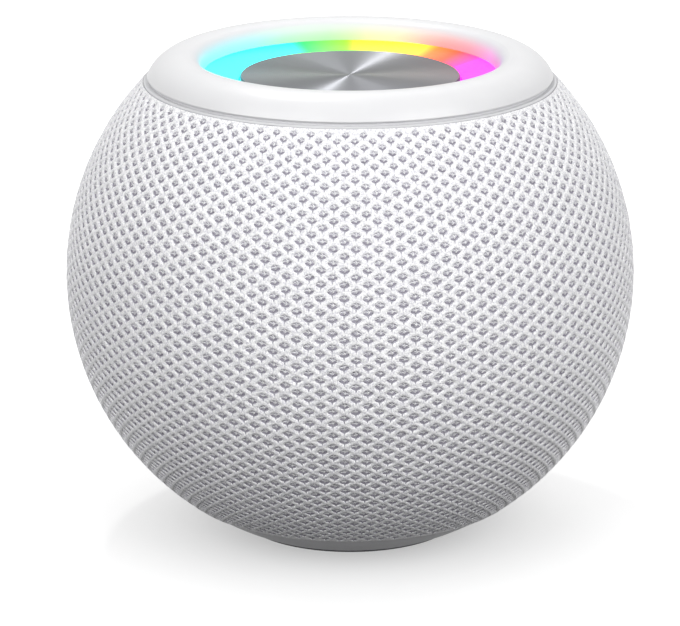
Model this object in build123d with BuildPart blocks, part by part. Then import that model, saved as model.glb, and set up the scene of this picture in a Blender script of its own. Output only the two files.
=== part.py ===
from build123d import *
import os
from math import asin, cos, radians, sin, sqrt

os.makedirs("parts", exist_ok=True)

# Ball: a knitted sleeve over two moulded shells, cut off flat below
ball_diameter = 100.0  # over the fabric
base_radius = 20.2  # flat that the base cap ends in
top_opening_radius = 36.1  # where the fabric stops below the top ring
fabric_thickness = 1.3
fabric_gap = 0.1  # adhesive film between fabric and shell
shell_wall = 2.0
base_inset = 0.5  # skin of the base cap below the skin of the fabric
base_height = 5.0
base_wall = 2.0
base_floor = 2.0
foot_drop = 0.5  # foot pad below the base cap

# Clearances
fit = 0.15  # between fixed pieces that slip into each other
running = 0.25  # around pieces that move
screw_play = 0.06  # between a screw's shank and its hole

# Foot pad
foot_outer = 19.5
foot_inner = 10.5
foot_thickness = 1.4
foot_groove_radii = (13.5, 16.5)
foot_groove_width = 0.8
foot_groove_depth = 0.3

# Lower shell with its sound slots, and the deflector on its floor
bowl_height = 22.2
bowl_floor = 2.0
tongue_height = 2.0
tongue_wall = 0.9
slot_count = 24
slot_width = 3.4
slot_height = 13.0
slot_rise = 4.5  # above the bowl's floor
deflector_radius = 21.0
deflector_rim = 1.0
deflector_height = 13.5
deflector_tip = 2.6
deflector_waist = 8.0  # radius halfway up its flank

# Screws, all of one thread
screw_radius = 1.0
screw_head_radius = 1.9
screw_head = 1.3
screw_bite = 4.0  # length in a boss
boss_radius = 2.5
base_screw_circle = 14.5
base_screw_count = 4

# Baffle that carries the driver
baffle_rise = 0.5  # top of the baffle above the shells' seam
baffle_thickness = 2.5
baffle_screw_circle = 36.5
baffle_screw_count = 4
baffle_boss_height = 12.0
rib_thickness = 1.8
rib_lift = 2.8  # foot of the ribs above the baffle

# Driver, facing down
cone_radius = 15.5
surround_roll = 2.3
surround_rim = 1.2
surround_thickness = 0.5
frame_radius = 23.2
frame_flange = 1.0
frame_depth = 6.3  # flange to the seat of the motor
frame_wall = 0.9
frame_window_count = 4
frame_window_width = 8.0
frame_window_margin = 0.6
motor_seat = 1.0
motor_seat_overlap = 1.1
gasket_thickness = 0.7
gasket_width = 1.8
driver_screw_circle = 21.4
driver_screw_count = 4
cone_thickness = 0.4
cone_height = 4.6
coil_radius = 6.0  # inside of the former
former_wall = 0.2
winding_wall = 0.4
winding_length = 3.4
coil_gap = 0.35
cone_travel = 1.5
dust_cap_height = 2.2
spider_thickness = 0.3
spider_depth = 0.4
spider_pleats = 4
yoke_radius = 11.5
yoke_height = 6.0
yoke_floor = 1.5
magnet_thickness = 2.5
pole_thickness = 1.8

# Top ring and collar
ring_rise = 4.75  # crest above the fabric's top edge
ring_edge_radius = 35.3
ring_edge_height = 0.3
crest_radius = 29.4
dish_lip_radius = 26.4
dish_lip_round = 2.4
ring_edge_round = 0.25
ring_core_inner = 29.3
ring_core_outer = 31.6
ring_core_height = 2.2
peg_count = 6
peg_radius = 0.6
peg_depth = 1.2  # into the shell's rim
collar_thickness = 0.75
collar_skirt_wall = 1.5
collar_skirt_height = 2.8
shadow_gap = 0.45  # between the ring's overhang and the collar
shadow_gap_depth = 0.35
collar_bevel = 0.25

# Lights in the dish
light_radius = 25.5  # visible outer edge of the diffuser
light_rise = 1.3  # that edge above the fabric's top edge
diffuser_wall = 1.5
diffuser_flange = 2.4
deck_depth = 5.05  # deck below the fabric's top edge
deck_thickness = 1.5
led_board_thickness = 1.0
led_board_margin = 0.4
led_count = 12
led_size = 5.0
led_height = 1.6
led_board_screw_margin = 1.05  # between a screw's head and the diffuser's tube
led_board_screw_count = 3
led_board_boss_height = 2.8

# Disc that is pressed, its carrier and its switch
disc_radius = 19.2
disc_rise = 0.85  # above the fabric's top edge
disc_stand = 0.9  # above the diffuser's inner edge
disc_thickness = 1.2
disc_chamfer = 0.25
disc_travel = 0.5
carrier_inset = 0.2
carrier_thickness = 1.2
post_circle = 13.0
post_count = 3
post_radius = 1.7
shoulder_head_radius = 2.4
shoulder_head = 1.0
switch_size = 6.0
switch_height = 2.0
plunger_radius = 1.7
plunger_depth = 0.8  # in the switch, at rest
switch_floor = 0.25

# Main board, hung from the deck
board_length = 42.0
board_width = 44.0
board_thickness = 1.6
board_drop = 6.1  # below the deck
board_boss_inset = 3.0
radio_size = (14.0, 12.0, 2.2)
radio_place = (-9.0, 8.0)
chip_size = (7.0, 7.0, 1.0)
chip_place = (9.0, -8.0)
capacitor_radius = 3.2
capacitor_height = 4.6
capacitor_places = ((16.0, -2.0), (-16.0, -1.5))

# Battery, below the main board
cell_radius = 9.2
cell_length = 65.0
pad_thickness = 1.8
pad_length = 36.0
pad_width = 8.0
cradle_length = 58.0
cradle_wall = 1.6
cradle_play = 0.2
ear_thickness = 2.0
ear_width = 7.0
ear_spacing = 54.0

# Rear panel with keys and socket
panel_width = 13.7
panel_height = 31.7
panel_rise = 2.0  # its middle above the ball's middle
bezel_width = 1.4
bezel_inset = 0.05  # below the fabric's skin
panel_inset = 0.7  # face below the fabric's skin
panel_wall = 1.7
pocket_depth = 8.0  # below the fabric's skin
pocket_floor = 1.6
pocket_wall = 1.6
key_radius = 2.5
key_inset = 0.15  # dome below the fabric's skin
key_flange_radius = 3.1
key_flange = 0.9
key_stem_radius = 1.2
key_rises = {"key_volume_up": 9.4, "key_power": 3.2, "key_volume_down": -3.0}
key_travel = 0.4
light_pipe_rise = -7.3
light_pipe_radius = 0.75
socket_rise = -10.6
socket_width = 8.94
socket_height = 3.26
socket_wall = 0.3
socket_floor = 1.2
socket_recess = 2.0  # mouth below the fabric's skin
blade_width = 6.7  # contact blade in the socket
blade_thickness = 0.7
blade_recess = 0.8
control_board_width = 12.6
control_board_height = 33.0
control_board_thickness = 1.2
control_gap = 3.9  # between the pocket's floor and the control board
control_post_radius = 1.7
control_post_rises = (14.2, -14.2)
key_switch_size = 4.4
key_switch_height = 2.0
key_plunger_radius = 0.95
key_plunger_depth = 1.2
key_plunger_stand = 0.7  # out of the switch, at rest
status_led_size = (1.6, 0.8, 0.6)

# Derived sizes of the ball
ball_radius = ball_diameter / 2
shell_radius = ball_radius - fabric_thickness - fabric_gap
shell_inner = shell_radius - shell_wall
shell_middle = shell_radius - shell_wall / 2
base_skin = ball_radius - base_inset
ball_z = foot_drop + sqrt(base_skin**2 - base_radius**2)
fabric_bottom = foot_drop + base_height
fabric_top = ball_z + sqrt(ball_radius**2 - top_opening_radius**2)
seam = fabric_bottom + bowl_height
screw_hole = screw_radius + screw_play
on_end = (Align.CENTER, Align.CENTER, Align.MIN)


def on_ball(radius, height):
    """Radius of a sphere about the ball's middle, sliced at a height above the table."""
    return sqrt(radius**2 - (height - ball_z) ** 2)


def ball_arc(radius, low, high):
    """Arc of such a sphere between two heights, for the current BuildLine."""
    heights = (low, (low + high) / 2, high)
    return ThreePointArc(*[(on_ball(radius, height), height) for height in heights])


def around(radius, count, start=0.0):
    """Points on a circle, as (x, y)."""
    angles = [radians(start + 360 * step / count) for step in range(count)]
    return [(radius * cos(angle), radius * sin(angle)) for angle in angles]


def pins(places, radius, low, high, mode=Mode.ADD):
    """Upright cylinders between two heights, for the current BuildPart."""
    with Locations(Plane.XY.offset(low)):
        with Locations(*places):
            Cylinder(radius, high - low, align=on_end, mode=mode)


def screws(places, seat, tip):
    """Pan-head screws whose heads lie on a seat and whose shanks end at a tip."""
    head_end = seat - screw_head if tip > seat else seat + screw_head
    pins(places, screw_head_radius, min(seat, head_end), max(seat, head_end))
    pins(places, screw_radius, min(seat, tip), max(seat, tip))


def save(builder, name):
    builder.part.label = name
    export_step(builder.part, f"parts/{name}.step")


# Foot pad
with BuildPart() as foot_pad:
    with BuildSketch():
        Circle(foot_outer)
        Circle(foot_inner, mode=Mode.SUBTRACT)
    extrude(amount=foot_thickness)
    with BuildSketch():
        for groove_radius in foot_groove_radii:
            Circle(groove_radius + foot_groove_width / 2)
            Circle(groove_radius - foot_groove_width / 2, mode=Mode.SUBTRACT)
    extrude(amount=foot_groove_depth, mode=Mode.SUBTRACT)
save(foot_pad, "foot_pad")

# Base cap, screwed to the bowl from under the foot pad
base_inside = foot_drop + base_floor
base_screw_seat = foot_thickness + screw_head + fit
base_screw_places = around(base_screw_circle, base_screw_count, 45)
with BuildPart() as base_cap:
    with BuildSketch(Plane.XZ):
        with BuildLine():
            skin = ball_arc(base_skin, foot_drop, fabric_bottom)
            inside = ball_arc(base_skin - base_wall, base_inside, fabric_bottom)
            Line(skin @ 1, inside @ 1)
            Polyline(inside @ 0, (0, base_inside), (0, foot_drop), skin @ 0)
        make_face()
    revolve(axis=Axis.Z)
    pins(base_screw_places, screw_head_radius + base_wall, base_inside, fabric_bottom)
    with BuildSketch(Plane.XY.offset(foot_drop)):
        Circle(foot_outer + fit)
        Circle(foot_inner - fit, mode=Mode.SUBTRACT)
    extrude(amount=foot_thickness - foot_drop, mode=Mode.SUBTRACT)
    pins(base_screw_places, screw_head_radius + fit, foot_thickness, base_screw_seat, Mode.SUBTRACT)
    pins(base_screw_places, screw_hole, base_screw_seat, fabric_bottom, Mode.SUBTRACT)
save(base_cap, "base_cap")

# Lower shell: a bowl with sound slots and a tongue that enters the upper shell
bowl_inside = fabric_bottom + bowl_floor
slot_middle = bowl_inside + slot_rise + slot_height / 2
tongue_outer = on_ball(shell_inner, seam) - fit
tongue_root = seam - tongue_height
slot_planes = []
for x, y in around(1, slot_count):
    slot_planes.append(Plane(origin=(0, 0, slot_middle), x_dir=(-y, x, 0), z_dir=(x, y, 0)))
with BuildPart() as lower_shell:
    with BuildSketch(Plane.XZ):
        with BuildLine():
            skin = ball_arc(shell_radius, fabric_bottom, seam)
            inside = ball_arc(shell_inner, bowl_inside, seam)
            Line(skin @ 1, inside @ 1)
            Polyline(inside @ 0, (0, bowl_inside), (0, fabric_bottom), skin @ 0)
        make_face()
        with BuildLine():
            Polyline(
                (tongue_outer - tongue_wall, tongue_root),
                (tongue_outer - tongue_wall, seam + tongue_height),
                (tongue_outer, seam + tongue_height),
                (tongue_outer, seam),
                (on_ball(shell_middle, seam), seam),
                (on_ball(shell_middle, tongue_root), tongue_root),
                close=True,
            )
        make_face()
    revolve(axis=Axis.Z)
    with BuildSketch(*slot_planes):
        SlotOverall(slot_height, slot_width, rotation=90)
    extrude(amount=ball_radius, mode=Mode.SUBTRACT)
    pins(base_screw_places, screw_hole, fabric_bottom, bowl_inside, Mode.SUBTRACT)
save(lower_shell, "lower_shell")

# Sound deflector, held on the bowl's floor by the base screws
deflector_top = bowl_inside + deflector_height
base_screw_tip = bowl_inside + screw_bite
with BuildPart() as sound_deflector:
    with BuildSketch(Plane.XZ):
        with BuildLine():
            rim = (deflector_radius, bowl_inside + deflector_rim)
            tip = (deflector_tip, deflector_top - deflector_tip)
            waist = (deflector_waist, bowl_inside + deflector_height / 3)
            ThreePointArc(rim, waist, tip)
            crown = CenterArc((0, deflector_top - deflector_tip), deflector_tip, 0, 90)
            Polyline(crown @ 1, (0, bowl_inside), (deflector_radius, bowl_inside), rim)
        make_face()
    revolve(axis=Axis.Z)
    pins(base_screw_places, boss_radius, bowl_inside, base_screw_tip + deflector_rim)
    pins(base_screw_places, screw_hole, bowl_inside, base_screw_tip + screw_play, Mode.SUBTRACT)
save(sound_deflector, "sound_deflector")

with BuildPart() as base_screws:
    screws(base_screw_places, base_screw_seat, base_screw_tip)
save(base_screws, "base_screws")

# Heights of the top, from the fabric's edge
deck_top = fabric_top - deck_depth
deck_bottom = deck_top - deck_thickness
led_board_top = deck_top + led_board_thickness
ring_seat = fabric_top + collar_thickness
light_edge = fabric_top + light_rise
crest = fabric_top + ring_rise
disc_top = fabric_top + disc_rise
disc_bottom = disc_top - disc_thickness
carrier_bottom = disc_bottom - carrier_thickness
board_top = deck_bottom - board_drop
board_bottom = board_top - board_thickness
cell_z = board_bottom - pad_thickness - cell_radius
ear_top = cell_z + ear_thickness / 2
ear_bottom = cell_z - ear_thickness / 2
rim_inner = on_ball(shell_inner, fabric_top)
peg_circle = (on_ball(shell_inner, fabric_top - peg_depth) + on_ball(shell_radius, fabric_top)) / 2

# Places of what is fixed to the deck and the shell's rim
peg_places = around(peg_circle, peg_count)
post_places = around(post_circle, post_count, 90)
tube_inner = disc_radius + running
led_board_screw_circle = tube_inner - led_board_screw_margin - screw_head_radius
led_board_screw_places = around(led_board_screw_circle, led_board_screw_count, 30)
board_span = (board_length - 2 * board_boss_inset, board_width - 2 * board_boss_inset)
ear_row = cell_radius + cradle_play + ear_width / 2
ear_span = (ear_spacing, 2 * ear_row)
board_places = [(x * board_span[0] / 2, y * board_span[1] / 2) for x in (-1, 1) for y in (-1, 1)]
ear_places = [(x * ear_span[0] / 2, y * ear_span[1] / 2) for x in (-1, 1) for y in (-1, 1)]

# Places on the rear panel: sketches on these planes show it as seen from behind
pocket_reach = panel_height / 2 + fit + pocket_wall
panel_z = max(ball_z + panel_rise, seam + tongue_height + fit + pocket_reach)  # clear of the tongue
rear = Plane(origin=(0, 0, panel_z), x_dir=(-1, 0, 0), z_dir=(0, 1, 0))
pocket_floor_y = ball_radius - pocket_depth
pocket_back_y = pocket_floor_y - pocket_floor
control_front_y = pocket_back_y - control_gap
bezel_outer = (panel_height + 2 * bezel_width, panel_width + 2 * bezel_width)
key_places = [(0, rise) for rise in key_rises.values()]
control_post_places = [(0, rise) for rise in control_post_rises]
beyond = ball_radius + shell_wall


def rear_discs(places, radius, start, end, mode=Mode.ADD):
    """Cylinders along the panel's axis, for the current BuildPart."""
    with Locations(rear.offset(start)):
        with Locations(*places):
            Cylinder(radius, end - start, align=on_end, mode=mode)


def rear_slot(length, width, start, end, rise=0.0, rotation=90, mode=Mode.ADD):
    """Round-ended block along the panel's axis, upright unless it is turned."""
    with BuildSketch(rear.offset(start)) as outline:
        with Locations((0, rise)):
            SlotOverall(length, width, rotation=rotation)
    extrude(outline.sketch, amount=end - start, mode=mode)


def inside_ball(radius):
    """Trims the current BuildPart to a sphere about the ball's middle."""
    with Locations((0, 0, ball_z)):
        Sphere(radius, mode=Mode.INTERSECT)


# Upper shell: dome with a deck under the dish, bosses, ribs and the pocket of the rear panel
baffle_top = seam + baffle_rise
baffle_bottom = baffle_top - baffle_thickness
baffle_boss_top = baffle_top + baffle_boss_height
baffle_screw_places = around(baffle_screw_circle, baffle_screw_count, 45)
pocket_size = (panel_height + 2 * fit, panel_width + 2 * fit)
socket_hole = (socket_width + 2 * running, socket_height + 2 * running)
rib_middle = (baffle_screw_circle + ball_radius) / 2
rib_length = ball_radius - baffle_screw_circle
rib_foot = baffle_top + rib_lift
with BuildPart() as upper_shell:
    pins([(0, 0)], ball_radius, deck_bottom, deck_top)
    pins(board_places, boss_radius, board_top, deck_bottom)
    pins(ear_places, boss_radius, ear_top, deck_bottom)
    pins(led_board_screw_places, boss_radius, deck_bottom - led_board_boss_height, deck_bottom)
    pins(baffle_screw_places, boss_radius, baffle_top, baffle_boss_top)
    with BuildSketch(Plane.XY.offset(rib_foot)):
        with PolarLocations(rib_middle, baffle_screw_count, 45):
            Rectangle(rib_length, rib_thickness)
    extrude(amount=baffle_boss_top - rib_foot)
    rear_slot(pocket_size[0] + 2 * pocket_wall, pocket_size[1] + 2 * pocket_wall, pocket_back_y, beyond)
    inside_ball(shell_middle)
    with BuildSketch(Plane.XZ):
        with BuildLine():
            skin = ball_arc(shell_radius, seam, fabric_top)
            inside = ball_arc(shell_inner, seam, fabric_top)
            Line(skin @ 0, inside @ 0)
            Line(skin @ 1, inside @ 1)
        make_face()
    revolve(axis=Axis.Z)
    rear_discs(control_post_places, control_post_radius, control_front_y, pocket_back_y)
    rear_slot(*pocket_size, pocket_floor_y, beyond, mode=Mode.SUBTRACT)
    rear_discs(key_places, key_stem_radius + running, pocket_back_y, pocket_floor_y, Mode.SUBTRACT)
    rear_discs([(0, light_pipe_rise)], light_pipe_radius + fit, pocket_back_y, pocket_floor_y, Mode.SUBTRACT)
    rear_slot(*socket_hole, pocket_back_y, pocket_floor_y, socket_rise, 0, Mode.SUBTRACT)
    rear_discs(control_post_places, screw_hole, control_front_y, control_front_y + screw_bite, Mode.SUBTRACT)
    pins(peg_places, peg_radius + fit, fabric_top - peg_depth, fabric_top, Mode.SUBTRACT)
    pins(post_places, post_radius + running, deck_bottom, deck_top, Mode.SUBTRACT)
    pins(led_board_screw_places, screw_hole, deck_top - screw_bite, deck_top, Mode.SUBTRACT)
    pins(board_places, screw_hole, board_top, board_top + screw_bite, Mode.SUBTRACT)
    pins(ear_places, screw_hole, ear_top, ear_top + screw_bite, Mode.SUBTRACT)
    pins(baffle_screw_places, screw_hole, baffle_top, baffle_top + screw_bite, Mode.SUBTRACT)
save(upper_shell, "upper_shell")

# Fabric sleeve, plain here
with BuildPart() as fabric_cover:
    with BuildSketch(Plane.XZ):
        with BuildLine():
            skin = ball_arc(ball_radius, fabric_bottom, fabric_top)
            inside = ball_arc(ball_radius - fabric_thickness, fabric_bottom, fabric_top)
            Line(skin @ 0, inside @ 0)
            Line(skin @ 1, inside @ 1)
        make_face()
    revolve(axis=Axis.Z)
    rear_slot(bezel_outer[0] + 2 * fit, bezel_outer[1] + 2 * fit, 0, beyond, mode=Mode.SUBTRACT)
save(fabric_cover, "fabric_cover")

# Collar that clamps the fabric's top edge
collar_outer = top_opening_radius - fit
collar_step = ring_edge_radius - shadow_gap_depth
collar_ledge = ring_seat - shadow_gap
collar_skirt_outer = rim_inner - fit
collar_inner = collar_skirt_outer - collar_skirt_wall
with BuildPart() as collar:
    with BuildSketch(Plane.XZ):
        with BuildLine():
            Polyline(
                (collar_inner, fabric_top - collar_skirt_height),
                (collar_skirt_outer, fabric_top - collar_skirt_height),
                (collar_skirt_outer, fabric_top),
                (collar_outer, fabric_top),
                (collar_outer, collar_ledge - collar_bevel),
                (collar_outer - collar_bevel, collar_ledge),
                (collar_step, collar_ledge),
                (collar_step, ring_seat),
                (collar_inner, ring_seat),
                close=True,
            )
        make_face()
    revolve(axis=Axis.Z)
    pins(peg_places, peg_radius + fit, fabric_top, ring_seat, Mode.SUBTRACT)
save(collar, "collar")

# Top ring: one arc over the crest, a steep dish wall inside, pegs below
edge_top = ring_seat + ring_edge_height
crest_span = ring_edge_radius - crest_radius
crest_arc = (crest_span**2 + (crest - edge_top) ** 2) / (2 * (crest - edge_top))
dish_lip = crest - crest_arc + sqrt(crest_arc**2 - (crest_radius - dish_lip_radius) ** 2)
diffuser_outer = light_radius + diffuser_flange
with BuildPart() as top_ring:
    with BuildSketch(Plane.XZ) as ring_profile:
        with BuildLine():
            lip = (dish_lip_radius, dish_lip)
            crown = ThreePointArc((ring_edge_radius, edge_top), (crest_radius, crest), lip)
            Polyline(
                crown @ 1,
                (light_radius, light_edge),
                (diffuser_outer + running, light_edge),
                (diffuser_outer + running, ring_seat),
                (ring_edge_radius, ring_seat),
                crown @ 0,
            )
        make_face()
        fillet(ring_profile.vertices().sort_by_distance(lip)[0], dish_lip_round)
        fillet(ring_profile.vertices().sort_by_distance((ring_edge_radius, ring_seat))[0], ring_edge_round)
    revolve(axis=Axis.Z)
    with BuildSketch(Plane.XY.offset(ring_seat)):
        Circle(ring_core_outer)
        Circle(ring_core_inner, mode=Mode.SUBTRACT)
    extrude(amount=ring_core_height, mode=Mode.SUBTRACT)
    pins(peg_places, peg_radius, fabric_top - peg_depth + fit, ring_seat)
save(top_ring, "top_ring")

# Light chamber: diffuser on the board that carries the lights
tube_outer = tube_inner + diffuser_wall
diffuser_inner_edge = disc_top - disc_stand
with BuildPart() as light_diffuser:
    with BuildSketch(Plane.XZ):
        with BuildLine():
            Polyline(
                (tube_inner, led_board_top),
                (tube_outer, led_board_top),
                (tube_outer, diffuser_inner_edge - diffuser_wall),
                (light_radius, light_edge - diffuser_wall),
                (diffuser_outer - diffuser_wall, light_edge - diffuser_wall),
                (diffuser_outer - diffuser_wall, led_board_top),
                (diffuser_outer, led_board_top),
                (diffuser_outer, light_edge),
                (light_radius, light_edge),
                (tube_inner, diffuser_inner_edge),
                close=True,
            )
        make_face()
    revolve(axis=Axis.Z)
save(light_diffuser, "light_diffuser")

with BuildPart() as led_board:
    pins([(0, 0)], diffuser_outer + led_board_margin, deck_top, led_board_top)
    pins(post_places, post_radius + running, deck_top, led_board_top, Mode.SUBTRACT)
    pins(led_board_screw_places, screw_hole, deck_top, led_board_top, Mode.SUBTRACT)
save(led_board, "led_board")

led_circle = (tube_outer + diffuser_outer - diffuser_wall) / 2
with BuildPart() as leds:
    with BuildSketch(Plane.XY.offset(led_board_top)):
        with PolarLocations(led_circle, led_count):
            Rectangle(led_size, led_size)
    extrude(amount=led_height)
save(leds, "leds")

with BuildPart() as led_board_screws:
    screws(led_board_screw_places, led_board_top, deck_top - screw_bite + screw_play)
save(led_board_screws, "led_board_screws")

# Pressed disc, its carrier on three guide posts, and the shoulder screws that hold it down
with BuildPart() as top_disc:
    pins([(0, 0)], disc_radius, disc_bottom, disc_top)
    chamfer(top_disc.edges().group_by(Axis.Z)[-1], disc_chamfer)
save(top_disc, "top_disc")

with BuildPart() as disc_carrier:
    pins([(0, 0)], disc_radius - carrier_inset, carrier_bottom, disc_bottom)
    pins(post_places, post_radius, deck_bottom, carrier_bottom)
    pins(post_places, screw_hole, deck_bottom, deck_bottom + screw_bite, Mode.SUBTRACT)
save(disc_carrier, "disc_carrier")

with BuildPart() as carrier_screws:
    pins(post_places, shoulder_head_radius, deck_bottom - shoulder_head, deck_bottom)
    pins(post_places, screw_radius, deck_bottom, deck_bottom + screw_bite - screw_play)
save(carrier_screws, "carrier_screws")

switch_top = led_board_top + switch_height
with BuildPart() as disc_switch:
    with BuildSketch(Plane.XY.offset(led_board_top)):
        Rectangle(switch_size, switch_size)
    extrude(amount=switch_height)
    bore_bottom = switch_top - plunger_depth - disc_travel - switch_floor
    pins([(0, 0)], plunger_radius + running, bore_bottom, switch_top, Mode.SUBTRACT)
save(disc_switch, "disc_switch")

with BuildPart() as disc_plunger:
    pins([(0, 0)], plunger_radius, switch_top - plunger_depth, carrier_bottom)
save(disc_plunger, "disc_plunger")

# Main board and what stands on it
with BuildPart() as main_board:
    with BuildSketch(Plane.XY.offset(board_bottom)):
        RectangleRounded(board_length, board_width, board_boss_inset)
        with Locations(*board_places):
            Circle(screw_hole, mode=Mode.SUBTRACT)
    extrude(amount=board_thickness)
save(main_board, "main_board")

with BuildPart() as board_screws:
    screws(board_places, board_bottom, board_top + screw_bite - screw_play)
save(board_screws, "board_screws")

with BuildPart() as radio_module:
    with Locations((*radio_place, board_top)):
        Box(*radio_size, align=on_end)
save(radio_module, "radio_module")

with BuildPart() as amplifier_chip:
    with Locations((*chip_place, board_top)):
        Box(*chip_size, align=on_end)
save(amplifier_chip, "amplifier_chip")

with BuildPart() as capacitors:
    pins(capacitor_places, capacitor_radius, board_top, board_top + capacitor_height)
save(capacitors, "capacitors")

# Battery cell in a trough below the main board
with BuildPart() as battery_cell:
    with BuildSketch(Plane.YZ.offset(-cell_length / 2)):
        with Locations((0, cell_z)):
            Circle(cell_radius)
    extrude(amount=cell_length)
save(battery_cell, "battery_cell")

with BuildPart() as battery_pad:
    with Locations((0, 0, board_bottom - pad_thickness / 2)):
        Box(pad_length, pad_width, pad_thickness)
save(battery_pad, "battery_pad")

trough_inner = cell_radius + cradle_play
trough_outer = trough_inner + cradle_wall
with BuildPart() as battery_cradle:
    with BuildSketch(Plane.YZ.offset(-cradle_length / 2)):
        with Locations((0, cell_z)):
            Circle(trough_outer)
            Rectangle(2 * trough_outer, trough_outer, align=(Align.CENTER, Align.MIN), mode=Mode.SUBTRACT)
            Rectangle(2 * (ear_row + ear_width / 2), ear_thickness)
            Circle(trough_inner, mode=Mode.SUBTRACT)
    extrude(amount=cradle_length)
    pins(ear_places, screw_hole, ear_bottom, ear_top, Mode.SUBTRACT)
save(battery_cradle, "battery_cradle")

with BuildPart() as cradle_screws:
    screws(ear_places, ear_bottom, ear_top + screw_bite - screw_play)
save(cradle_screws, "cradle_screws")

# Baffle
surround_outer = cone_radius + surround_roll
mouth_radius = surround_outer + running
driver_screw_places = around(driver_screw_circle, driver_screw_count)
baffle_radius = min(tongue_outer - tongue_wall, on_ball(shell_inner, baffle_bottom)) - fit
with BuildPart() as baffle:
    with BuildSketch(Plane.XY.offset(baffle_bottom)):
        Circle(baffle_radius)
        Circle(mouth_radius, mode=Mode.SUBTRACT)
        with Locations(*baffle_screw_places, *driver_screw_places):
            Circle(screw_hole, mode=Mode.SUBTRACT)
    extrude(amount=baffle_thickness)
    mouth_edge = baffle.edges().filter_by(GeomType.CIRCLE).group_by(Axis.Z)[0].sort_by(SortBy.RADIUS)[-2]
    chamfer(mouth_edge, baffle_thickness / 2)
save(baffle, "baffle")

with BuildPart() as baffle_screws:
    screws(baffle_screw_places, baffle_bottom, baffle_top + screw_bite - screw_play)
save(baffle_screws, "baffle_screws")

# Levels of the driver, from the baffle up
flange_bottom = baffle_top + gasket_thickness
flange_top = flange_bottom + frame_flange
seat_bottom = flange_bottom + frame_depth
seat_top = seat_bottom + motor_seat
surround_top = flange_bottom + surround_thickness
cone_rim_top = surround_top + cone_thickness
basket_shoulder = cone_rim_top + cone_travel + 2 * running
neck = surround_top + cone_height
yoke_ceiling = seat_top + yoke_height - yoke_floor
pole_top = yoke_ceiling - magnet_thickness
pole_bottom = pole_top - pole_thickness

# Radii of the driver, from the coil out
former_outer = coil_radius + former_wall
winding_outer = former_outer + winding_wall
seat_inner = yoke_radius - motor_seat_overlap
seat_outer = yoke_radius + frame_wall
surround_inner = cone_radius - surround_rim
gasket_outer = mouth_radius + gasket_width
rim_outer = surround_outer + surround_rim

with BuildPart() as driver_gasket:
    with BuildSketch(Plane.XY.offset(baffle_top)):
        Circle(gasket_outer)
        Circle(mouth_radius, mode=Mode.SUBTRACT)
    extrude(amount=gasket_thickness)
save(driver_gasket, "driver_gasket")

# Driver frame: flange, basket with windows, seat of the motor
window_bottom = flange_top + frame_window_margin
window_top = seat_bottom - frame_window_margin
with BuildPart() as driver_frame:
    with BuildSketch(Plane.XZ):
        with BuildLine():
            Polyline(
                (rim_outer + fit, flange_bottom),
                (frame_radius, flange_bottom),
                (frame_radius, flange_top),
                (surround_outer + frame_wall, flange_top),
                (surround_outer + frame_wall, basket_shoulder),
                (seat_outer, seat_top),
                (seat_inner, seat_top),
                (seat_inner, seat_bottom),
                (seat_outer - frame_wall, seat_bottom),
                (surround_outer, basket_shoulder),
                (surround_outer, surround_top),
                (rim_outer + fit, surround_top),
                close=True,
            )
        make_face()
    revolve(axis=Axis.Z)
    with BuildSketch(Plane.XY.offset(window_bottom)):
        with PolarLocations((seat_inner + frame_radius) / 2, frame_window_count, 45):
            Rectangle(frame_radius - seat_inner, frame_window_width)
    extrude(amount=window_top - window_bottom, mode=Mode.SUBTRACT)
    pins(driver_screw_places, screw_hole, flange_bottom, flange_top, Mode.SUBTRACT)
save(driver_frame, "driver_frame")

with BuildPart() as driver_screws:
    screws(driver_screw_places, flange_top, baffle_bottom + screw_play)
save(driver_screws, "driver_screws")

# Surround: a half roll between two flat rims
roll_radius = surround_roll / 2
roll_inside = roll_radius - surround_thickness
roll_middle = cone_radius + roll_radius
with BuildPart() as surround:
    with BuildSketch(Plane.XZ):
        with BuildLine():
            outside = CenterArc((roll_middle, flange_bottom), roll_radius, 180, 180)
            inside = CenterArc((roll_middle, flange_bottom), roll_inside, 180, 180)
            Polyline(
                outside @ 1,
                (rim_outer, flange_bottom),
                (rim_outer, surround_top),
                (roll_middle + roll_inside, surround_top),
                inside @ 1,
            )
            Polyline(
                inside @ 0,
                (roll_middle - roll_inside, surround_top),
                (surround_inner, surround_top),
                (surround_inner, flange_bottom),
                outside @ 0,
            )
        make_face()
    revolve(axis=Axis.Z)
save(surround, "surround")

# Cone, with its rim on the surround and its neck round the former
with BuildPart() as cone:
    with BuildSketch(Plane.XZ):
        with BuildLine():
            Polyline(
                (cone_radius, surround_top),
                (cone_radius, cone_rim_top),
                (surround_inner, cone_rim_top),
                (former_outer, neck + cone_thickness),
                (former_outer, neck),
                (surround_inner, surround_top),
                close=True,
            )
        make_face()
    revolve(axis=Axis.Z)
save(cone, "cone")


def dome_arc(rim, depth):
    """Arc that hangs from the neck's height down to the axis, for the current BuildLine."""
    sphere = (rim**2 + depth**2) / (2 * depth)
    half = asin(rim / sphere) / 2
    middle = neck - depth + sphere
    return ThreePointArc((rim, neck), (sphere * sin(half), middle - sphere * cos(half)), (0, neck - depth))


# Dust cap that closes the cone's neck
with BuildPart() as dust_cap:
    with BuildSketch(Plane.XZ):
        with BuildLine():
            outside = dome_arc(former_outer, dust_cap_height)
            inside = dome_arc(former_outer - cone_thickness, dust_cap_height - cone_thickness)
            Line(outside @ 0, inside @ 0)
            Line(outside @ 1, inside @ 1)
        make_face()
    revolve(axis=Axis.Z)
save(dust_cap, "dust_cap")

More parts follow.
